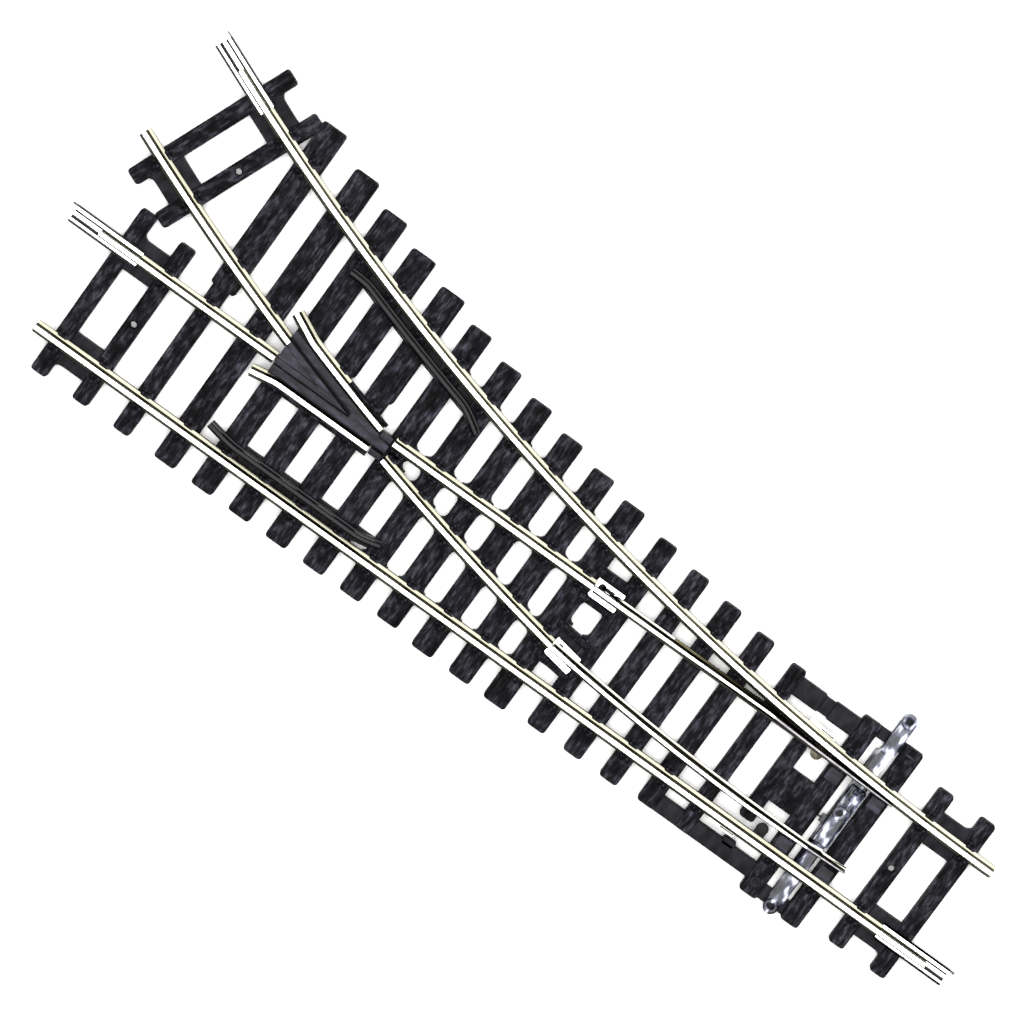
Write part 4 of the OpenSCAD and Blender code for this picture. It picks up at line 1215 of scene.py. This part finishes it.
def make_tie_bar():
    shells = Shells()
    step, edge = 0.15, 0.14
    count = round((TOP_EYE_Y - 0.5 - (LOW_EYE_Y + 0.5)) / step)
    rings = []
    for i in range(count + 1):
        v = LOW_EYE_Y + 0.5 + step * i
        left, right = bar_edges(v)
        columns = 30
        ring = [(left, BAR_Z0)]
        ring.append((left, bar_height(left + 0.15, v) - edge))
        for k in range(columns + 1):
            u = left + 0.05 + (right - left - 0.1) * k / columns
            rounding = edge * 0.8 if k in (0, columns) else 0.03 if k in (1, columns - 1) else 0.0
            ring.append((u, bar_height(u, v) - rounding))
        ring.append((right, bar_height(right - 0.15, v) - edge))
        ring.append((right, BAR_Z0))
        rings.append([Vector((BAR_X + u, v, z)) for u, z in ring])
    loft(shells, rings)
    for x, y in ((BAR_X + LOW_ARM_X, LOW_EYE_Y), (BAR_X, TOP_EYE_Y)):
        eye = [(0.5, BAR_Z0), (1.24, BAR_Z0), (1.24, 1.95), (1.17, 2.12), (1.0, 2.2), (0.8, 2.19),
               (0.62, 2.1), (0.5, 1.9)]
        hoop(shells, x, y, eye)
    boss = [(0.5, 1.4), (1.15, 1.4), (1.15, 2.52), (1.07, 2.66), (0.9, 2.7), (0.68, 2.68), (0.55, 2.58),
            (0.5, 2.45)]
    hoop(shells, BAR_X, BAR_Y, boss)
    # dark discs that close the holes, which are open in the CAD; they paint the shade inside the holes
    for x, y, z in ((BAR_X + LOW_ARM_X, LOW_EYE_Y, BAR_Z0 + 0.02), (BAR_X, TOP_EYE_Y, BAR_Z0 + 0.02),
                    (BAR_X, BAR_Y, 2.36)):
        slab(shells, circle(x, y, 0.54), z, z + 0.08, 0.02, 1, finish=1)
    hook = rounded(rectangle(BAR_X + 1.2, BAR_X + 2.0, -0.9, 0.5), 0.12)
    slab(shells, hook, BAR_Z0 + 0.1, BAR_TOP, 0.1)
    build("tie_bar", shells, "tie_bar", ["tie_bar"], [BAR, PAINTED_SHADE])


# ------------------------------------------------------------------ metal fittings

SHEET_Z, SHEET_T = 1.8, 0.2
LUG_CLEARANCE = 0.03
CLIP_X = 35.0
PLATE_UP = -0.115
PLATE_T = 0.15


def curl(side):
    """Centre line of one folded side of a rail joiner, from the plate up and over the rail's foot."""
    return [(side * a, u) for a, u in ((1.22, PLATE_UP), (1.34, -0.04), (1.37, 0.1), (1.37, 0.34),
                                       (1.31, 0.48), (1.2, 0.555), (1.0, 0.575), (0.74, 0.585))]


def joiner_strip(ridge):
    """Section of a joiner. Beyond the rail's end its plate is ridged by the rail pressed into it."""
    middle = [(-0.64, 0), (-0.52, 0.03), (-0.3, 0.15), (0.3, 0.15), (0.52, 0.03), (0.64, 0)]
    floor = [(a, PLATE_UP + u * ridge) for a, u in middle]
    return curl(-1)[::-1] + floor + curl(1)


def rail_joiner(name, held, bare, lip):
    """A joiner around a rail's end, its bare half and the flat lip at its mouth.

    Dark strips along it stand in for the shade in its folds.
    """
    shells = Shells()
    sweep(shells, ribbon(joiner_strip(0), PLATE_T), held, SEAT_Z)
    sweep(shells, ribbon(joiner_strip(1), PLATE_T), bare, SEAT_Z)
    for side in (-1, 1):
        for near, far, top, path in ((0.38, 0.8, 0.2, bare), (1.22, 1.46, 0.66, held + bare)):
            shadow = [(side * near, PLATE_UP), (side * far, PLATE_UP), (side * far, top), (side * near, top)]
            sweep(shells, shadow, path, SEAT_Z, finish=1)
    flat = [(-1.38, PLATE_UP + 0.06), (-1.25, PLATE_UP), (0, PLATE_UP), (1.25, PLATE_UP),
            (1.38, PLATE_UP + 0.06)]
    sweep(shells, ribbon(flat, PLATE_T), lip, SEAT_Z)
    build(name, shells, "root", [name], [STEEL, PAINTED_SHADE])


def make_rail_joiners():
    lip = 0.9
    x0, x1 = low("toe_rail_joiner").x, high("toe_rail_joiner").x
    rail_joiner("toe_rail_joiner", line(0, x1, HALF_PITCH, 2), line(x0 + lip, 0, HALF_PITCH, 2),
                line(x0, x0 + lip + 0.2, HALF_PITCH, 1))
    x0, x1 = low("heel_rail_joiner").x, high("heel_rail_joiner").x
    rail_joiner("heel_rail_joiner", line(x0, STRAIGHT_LEN, -HALF_PITCH, 2),
                line(STRAIGHT_LEN, x1 - lip, -HALF_PITCH, 2), line(x1 - lip - 0.2, x1, -HALF_PITCH, 1))
    length, out = 13.3, 6.1
    start = ROUTE_ANGLE - (length - out) / INNER_R
    held = arc(INNER_R, INNER_R * math.sin(start), INNER_R * math.sin(ROUTE_ANGLE))
    bare = [held[-1]] + onward(held[-1], out - lip)
    rail_joiner("diverging_rail_joiner", held, bare, [bare[-1]] + onward(bare[-1], lip))


def make_pivot(kind, pivot, heading):
    """Folded plate and pin that a blade turns on."""
    place = Matrix.Translation((pivot.x, pivot.y, 0)) @ Matrix.Rotation(heading, 4, "Z")
    plate_z, t = SHEET_Z, SHEET_T
    plate = Shells()
    slab(plate, rounded(rectangle(-4.0, 1.0, -1.65, 1.65), 0.3), plate_z, plate_z + t, 0.05, 2)
    for side in (-1, 1):
        y0, y1 = sorted((side * 1.64, side * 1.44))
        slab(plate, rounded(rectangle(-3.9, 0.8, y0, y1), 0.08), plate_z, plate_z + 0.65, 0.06, 2)
    # dark marks just proud of the plate, painted shade: a disc by the pin and a strip beside it
    for shape in (circle(-0.3, -0.55, 0.62), rounded(rectangle(-2.5, -0.3, -0.95, -0.35), 0.2)):
        slab(plate, shape, plate_z + 0.1, plate_z + t + 0.012, 0.01, 1, finish=1)
    plate.turn(place)
    build(kind + "_pivot_joiner", plate, "root", [kind + "_pivot_joiner"], [STEEL, PAINTED_SHADE])
    pin = Shells()
    slab(pin, circle(0, 0, 0.7), 1.4, plate_z, 0.08)
    slab(pin, circle(0, 0, 0.38), 1.5, SEAT_Z + 0.9, 0.1)
    pin.turn(place)
    build(kind + "_pivot_pin", pin, "root", [kind + "_pivot_pin"], [STEEL])


def make_clip(name, station, side, flange_x):
    """Spring contact under a stock rail, with a small flange and a round ear."""
    x, y, heading = station
    shells = Shells()
    z, t, strip = SHEET_Z, SHEET_T, 0.95
    start, end, ear_x = 30.5 - x, 40.4 - x, 32.3 - x
    slab(shells, rounded(rectangle(start, end, -strip, strip), 0.2), z, z + t, 0.04, 2)
    # the flange, drawn in the pale lit copy of the bronze
    foot = [(flange_x - x, 0), (flange_x - x + 5.2, 0), (flange_x - x + 5.0, 1.7), (flange_x - x + 0.2, 1.7)]
    if side < 0:
        foot = [(a, -b) for a, b in reversed(foot)]
    slab(shells, foot, z, z + t - 0.01, 0.04, 2, finish=2)
    # the round ear; on the straight clip it is painted near-black as shade
    y0, y1 = sorted((0, -side * 2.15))
    slab(shells, rectangle(ear_x - 0.95, ear_x + 0.95, y0, y1), z, z + t - 0.02, 0.04, 2,
         finish=1 if side > 0 else 0)
    slab(shells, circle(ear_x, -side * 2.15, 1.0), z, z + t - 0.01, 0.04, 2, finish=1 if side > 0 else 0)
    slab(shells, rectangle(start, end, -0.7, 0.7), z + t - 0.05, SEAT_Z, 0.03, 2)
    # dark strip along the flange's edge, a painted shadow
    y0, y1 = sorted((side * 1.15, side * 1.35))
    slab(shells, rectangle(flange_x - x + 0.35, flange_x - x + 2.85, y0, y1), z + 0.1, z + t, 0.01, 1,
         finish=1)
    shells.turn(Matrix.Translation((x, y, 0)) @ Matrix.Rotation(heading, 4, "Z"))
    build(name, shells, "root", [name], [BRONZE, PAINTED_SHADE, LIT_BRONZE])


def make_spring():
    """Wire that pulls the tie bar over its centre, from its hook to the housing."""
    route = [(25.35, -0.2), (26.4, -0.15), (27.6, 0.0), (28.6, 0.35), (29.2, 1.0), (29.6, 1.8), (30.3, 2.25),
             (31.1, 2.0), (31.4, 1.2), (31.2, 0.4), (30.9, -0.4), (31.3, -1.0), (32.0, -1.05), (32.7, -0.6),
             (33.2, 0.1)]
    points = [Vector(p) for p in route]
    fine = []
    for i in range(len(points) - 1):
        a, b, c, d = (points[min(max(i + k, 0), len(points) - 1)] for k in (-1, 0, 1, 2))
        for k in range(4):
            t = k / 4
            fine.append(0.5 * ((2 * b) + (c - a) * t + (2 * a - 5 * b + 4 * c - d) * t * t
                               + (3 * b - a - 3 * c + d) * t ** 3))
    fine.append(points[-1])
    radius, sides, z = 0.165, 14, 1.3
    rings = []
    for i, p in enumerate(fine):
        d = (fine[min(i + 1, len(fine) - 1)] - fine[max(i - 1, 0)]).normalized()
        ring = []
        for k in range(sides):
            a = 2 * math.pi * k / sides
            c, s = radius * math.cos(a), radius * math.sin(a)
            ring.append(Vector((p.x - d.y * c, p.y + d.x * c, z + s)))
        rings.append(ring)
    shells = Shells()
    loft(shells, rings)
    spring = build("over_centre_spring", shells, None, ["over_centre_spring"], [BRONZE])
    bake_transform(spring)


def carry_over(node, metal):
    """Shows a CAD node with its own shape, its edges eased."""
    piece = frame["nodes"][node]
    piece.data.materials.clear()
    piece.data.materials.append(metal)
    eased = piece.modifiers.new("eased", "BEVEL")
    eased.width, eased.segments, eased.limit_method = 0.04 * MM, 2, "ANGLE"


def make_lug(kind, y, side, turn=None):
    """Tab under a blade, with its pin in the tie bar. The pin's top is level with the rails' feet."""
    shells = Shells()
    y0, y1 = sorted((y - side * 0.2, y + side * 0.7))
    slab(shells, rectangle(BAR_X - 1.1, BAR_X + 1.1, y0, y1), SHEET_Z, SEAT_Z - LUG_CLEARANCE, 0.04, 2)
    slab(shells, circle(BAR_X, y, 0.4), BAR_Z0 + 0.1, BAR_Z0 + 1.1, 0.04, 2)
    if turn:
        shells.turn(turn)
    build(kind + "_blade_lug", shells, kind + "_blade", [kind + "_blade_lug"], [STEEL])


def plain_metal(name, dark, light, roughness):
    """Sheet metal drawn in object coordinates, for the carried-over nodes."""
    made, tree, shader = start_material(name, light, 1, roughness)
    cloud = grain_noise(tree, (900.0, 900.0, 900.0), 4.0, 0.6, by_grain=False)
    tree.links.new(ramp(tree, cloud, [(0.35, dark), (0.65, light)]), shader.inputs["Base Color"])
    tree.links.new(spread(tree, cloud, 0.3, 0.7, roughness * 0.8, roughness * 1.3),
                   shader.inputs["Roughness"])
    return made


add_camera()
add_light()
add_floor()
make_base()
make_rails()
make_crossing()
make_check_rails()
make_blades()
make_tie_bar()
make_spring()
make_rail_joiners()
make_lug("straight", STRAIGHT_LUG_Y, 1)
make_lug("curved", CURVED_LUG_Y, -1, OPENED)
make_pivot("straight", STRAIGHT_PIVOT, 0.0)
make_pivot("curved", CURVED_PIVOT, -arc_angle(CURVED_PIVOT.x, OUTER_R))
make_clip("straight_contact_clip", (CLIP_X, HALF_PITCH, 0.0), 1, 35.0)
make_clip("curved_contact_clip", on_arc(CLIP_X, INNER_R), -1, 31.4)
small_bronze = plain_metal("strap_bronze", (0.05, 0.043, 0.03), (0.10, 0.088, 0.06), 0.4)
for node in ("straight_jumper_strap", "curved_jumper_strap"):
    carry_over(node, small_bronze)
